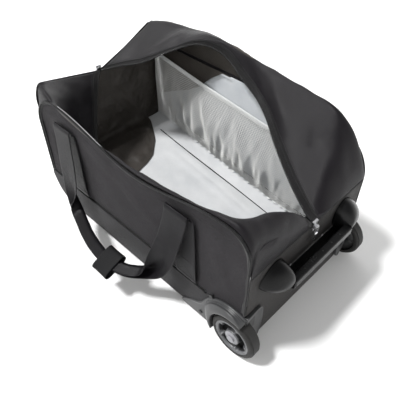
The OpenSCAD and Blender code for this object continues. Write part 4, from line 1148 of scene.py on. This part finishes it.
def rim_face(side, word):
    """The rim: a flat face with five bean-shaped openings, a lip and a scuffed hub."""
    radii = np.concatenate([np.linspace(5.0, 33.5, 58), [34.6, 35.4, 35.8, 35.8, 35.0]])
    depth = [0.0] * 58 + [-0.5, -0.2, 0.8, 3.0, 14.0]
    count = 240
    verts = []
    faces = []
    holes = np.zeros((len(radii), count))
    for i, r in enumerate(radii):
        for k in range(count):
            w = 360.0 * k / count
            off = (w - 36 + 36) % 72 - 36
            u, v = abs(math.radians(off)) * r, abs(r - BEAN_R)
            a_, b_, c_ = max(0.36 * r + 0.35 * BEAN_R - 1.2, 4), BEAN_HALF, BEAN_ROUND
            qx, qy = u - (a_ - c_), v - (b_ - c_)
            d_ = math.hypot(max(qx, 0), max(qy, 0)) + min(max(qx, qy), 0) - c_
            t = min(max((0.3 - d_) / 1.4, 0), 1)
            t = t * t * (3 - 2 * t)
            holes[i, k] = t
            hub = -1.4 * max(0.0, 1 - (r / 12.5) ** 4)
            dish = 0.6 * math.exp(-((r - 31.8) / 1.2) ** 2)
            y = -169.2 + depth[i] + hub + dish + 9.0 * t
            verts.append(at_wheel(r, w, -side * y))
    for i in range(len(radii) - 1):
        for k in range(count):
            q = (k + 1) % count
            if min(holes[i, k], holes[i, q], holes[i + 1, k], holes[i + 1, q]) > 0.96:
                continue
            f = [i * count + k, i * count + q, (i + 1) * count + q, (i + 1) * count + k]
            faces.append(f[::-1] if side > 0 else f)
    body = "%s_wheel" % word
    o = put("%s_rim_shell" % word, verts, faces, RIM, None, body=body, slot="rim_plastic",
            nodes=("%s_rim" % word,))
    o.data.materials.append(HUB)
    o.data.materials.append(BLACK)
    # the walls of the openings take the black finish instead of the rim's own: painted shade inside the
    # openings
    for f in o.data.polygons:
        c_ = f.center * 1000
        if min(holes[v // count, v % count] for v in f.vertices) > 0.2:
            f.material_index = 2
        elif math.hypot(c_.x - WHEEL_X - SHIFT[0], c_.z - WHEEL_Z - SHIFT[2]) < HUB_R:
            f.material_index = 1
    t = np.linspace(0, 2 * np.pi, 49)[:-1]
    rings = [(34.8, 160.0), (34.8, 150.0), (20, 150.4), (7, 150.6)]
    g = np.array([[(WHEEL_X + r * math.cos(w), -y, WHEEL_Z + r * math.sin(w)) for w in np.append(t, t[0])]
                  for r, y in rings]) * np.array([1, -side, 1])
    cloth("%s_rim_back" % word, g, BLACK, 0.8, 0, slot="rim_plastic", body=body)


for side, word in ((-1, "near"), (1, "far")):
    wheel_housing(side, word)
    rim_face(side, word)

# ---------------------------------------------------------------- CAD pieces that keep their shape
for n, wdt, mt in (("near_tyre", 0, TYRE), ("far_tyre", 0, TYRE),
                   ("near_bearings", 0.3, STEEL), ("far_bearings", 0.3, STEEL), ("near_axle", 0.5, HUB),
                   ("far_axle", 0.5, HUB), ("axle_nuts", 0.3, STEEL), ("housing_screws", 0.5, BLACK),
                   ("grab_handle_rivets", 0.4, STEEL), ("skid_feet", 0.8, BLACK),
                   ("trolley_bezel", 1.0, BLACK), ("outer_tubes", 0, TUBE), ("middle_tubes", 0, TUBE),
                   ("inner_tubes", 0, TUBE),
                   ("tube_foot", 0.6, BLACK), ("middle_collars", 0.3, BLACK), ("inner_plugs", 0.2, BLACK),
                   ("trolley_grip", 1.0, BLACK), ("grip_button", 0.5, BUTTON), ("push_rods", 0, STEEL),
                   ("near_lock_pin", 0.2, STEEL), ("far_lock_pin", 0.2, STEEL),
                   ("wheel_end_slider", 0.9, NICKEL), ("handle_end_slider", 0.9, NICKEL),
                   ("wheel_end_pull_link", 0.3, NICKEL), ("handle_end_pull_link", 0.3, NICKEL),
                   ("wheel_end_pull_tab", 0.35, NICKEL), ("handle_end_pull_tab", 0.35, NICKEL),
                   ("base_board", 0.6, BLACK), ("base_cloth", 0.3, PLATE)):
    bevelled(n, wdt, mt)


def declare(o):
    """Reads a sheet's UVs into an array, which nothing else uses."""
    uv = np.zeros(len(o.data.loops) * 2)
    o.data.uv_layers[0].data.foreach_get("uv", uv)


OBJ = bpy.data.objects
for word in ("near", "far"):
    shell, under, tape, teeth, cord, s1, c = top_pieces[word]
    declare(shell)
    declare(OBJ["%s_side_panel_cloth" % word])
    declare(OBJ["%s_wall_lining_cloth" % word])
    declare(OBJ["%s_handle_webbing" % word])
declare(end_lining)
declare(far_wall_shade_sheet)
declare(OBJ["handle_end_cloth"])
declare(OBJ["wheel_end_cloth"])
declare(wrap)
declare(net)

# ---------------------------------------------------------------- floor, light and camera
SOFTBOX_WATTS, SUN_STRENGTH, WORLD_STRENGTH, LENS = 9.0, 3.6, 1.7, 42.74
CAMERA_AT, CAMERA_TILT, CAMERA_TURN = (0.4907, -0.4907, 0.7537), 90 - 44.38, 44.49
bpy.ops.mesh.primitive_plane_add(size=8.0, location=(0, 0, -0.0002))
floor = bpy.context.object
floor.name = "floor"
m, t, sh = start("floor_paint")
sh.inputs["Base Color"].default_value = (0.86, 0.86, 0.86, 1)
sh.inputs["Roughness"].default_value = 0.9
floor.data.materials.append(m)
floor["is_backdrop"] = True

light = bpy.data.lights.new("back_softbox", "AREA")
light.shape = "SQUARE"
light.size = 1.3
light.energy = SOFTBOX_WATTS
soft = stand("back_softbox", light)
soft.location = (-1.15, 1.15, 1.0)
soft.rotation_euler = (Vector(soft.location) - Vector((0, 0, 0.15))).to_track_quat("Z", "Y").to_euler()
soft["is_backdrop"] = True
light = bpy.data.lights.new("key", "SUN")
light.energy = SUN_STRENGTH
light.angle = math.radians(9)
key = stand("key", light)
key.rotation_euler = Vector((-0.37, -0.42, 1.0)).to_track_quat("Z", "Y").to_euler()
key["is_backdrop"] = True
world = bpy.data.worlds.new("studio")
bpy.context.scene.world = world
world.use_nodes = True
bg = world.node_tree.nodes["Background"]
wt = world.node_tree
# a studio sweep: bright low down, dimmer overhead
sep = wt.nodes.new("ShaderNodeSeparateXYZ")
wt.links.new(node(wt, "ShaderNodeTexCoord").outputs["Generated"], sep.inputs[0])
wt.links.new(ramp(wt, sep.outputs["Z"], [(0.0, (1.0, 1.0, 0.985)), (0.35, (0.80, 0.80, 0.79)),
                                         (0.75, (0.26, 0.26, 0.26)),
                                         (1.0, (0.18, 0.18, 0.18))]), bg.inputs[0])
bg.inputs[1].default_value = WORLD_STRENGTH
bpy.context.scene.view_settings.view_transform = "Standard"

cam = bpy.data.cameras.new("camera")
cam.lens = LENS
cam.sensor_width = 36.0
cam_obj = stand("camera", cam)
cam_obj.location = CAMERA_AT
cam_obj.rotation_euler = (math.radians(CAMERA_TILT), 0, math.radians(CAMERA_TURN))
bpy.context.scene.camera = cam_obj

low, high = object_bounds()
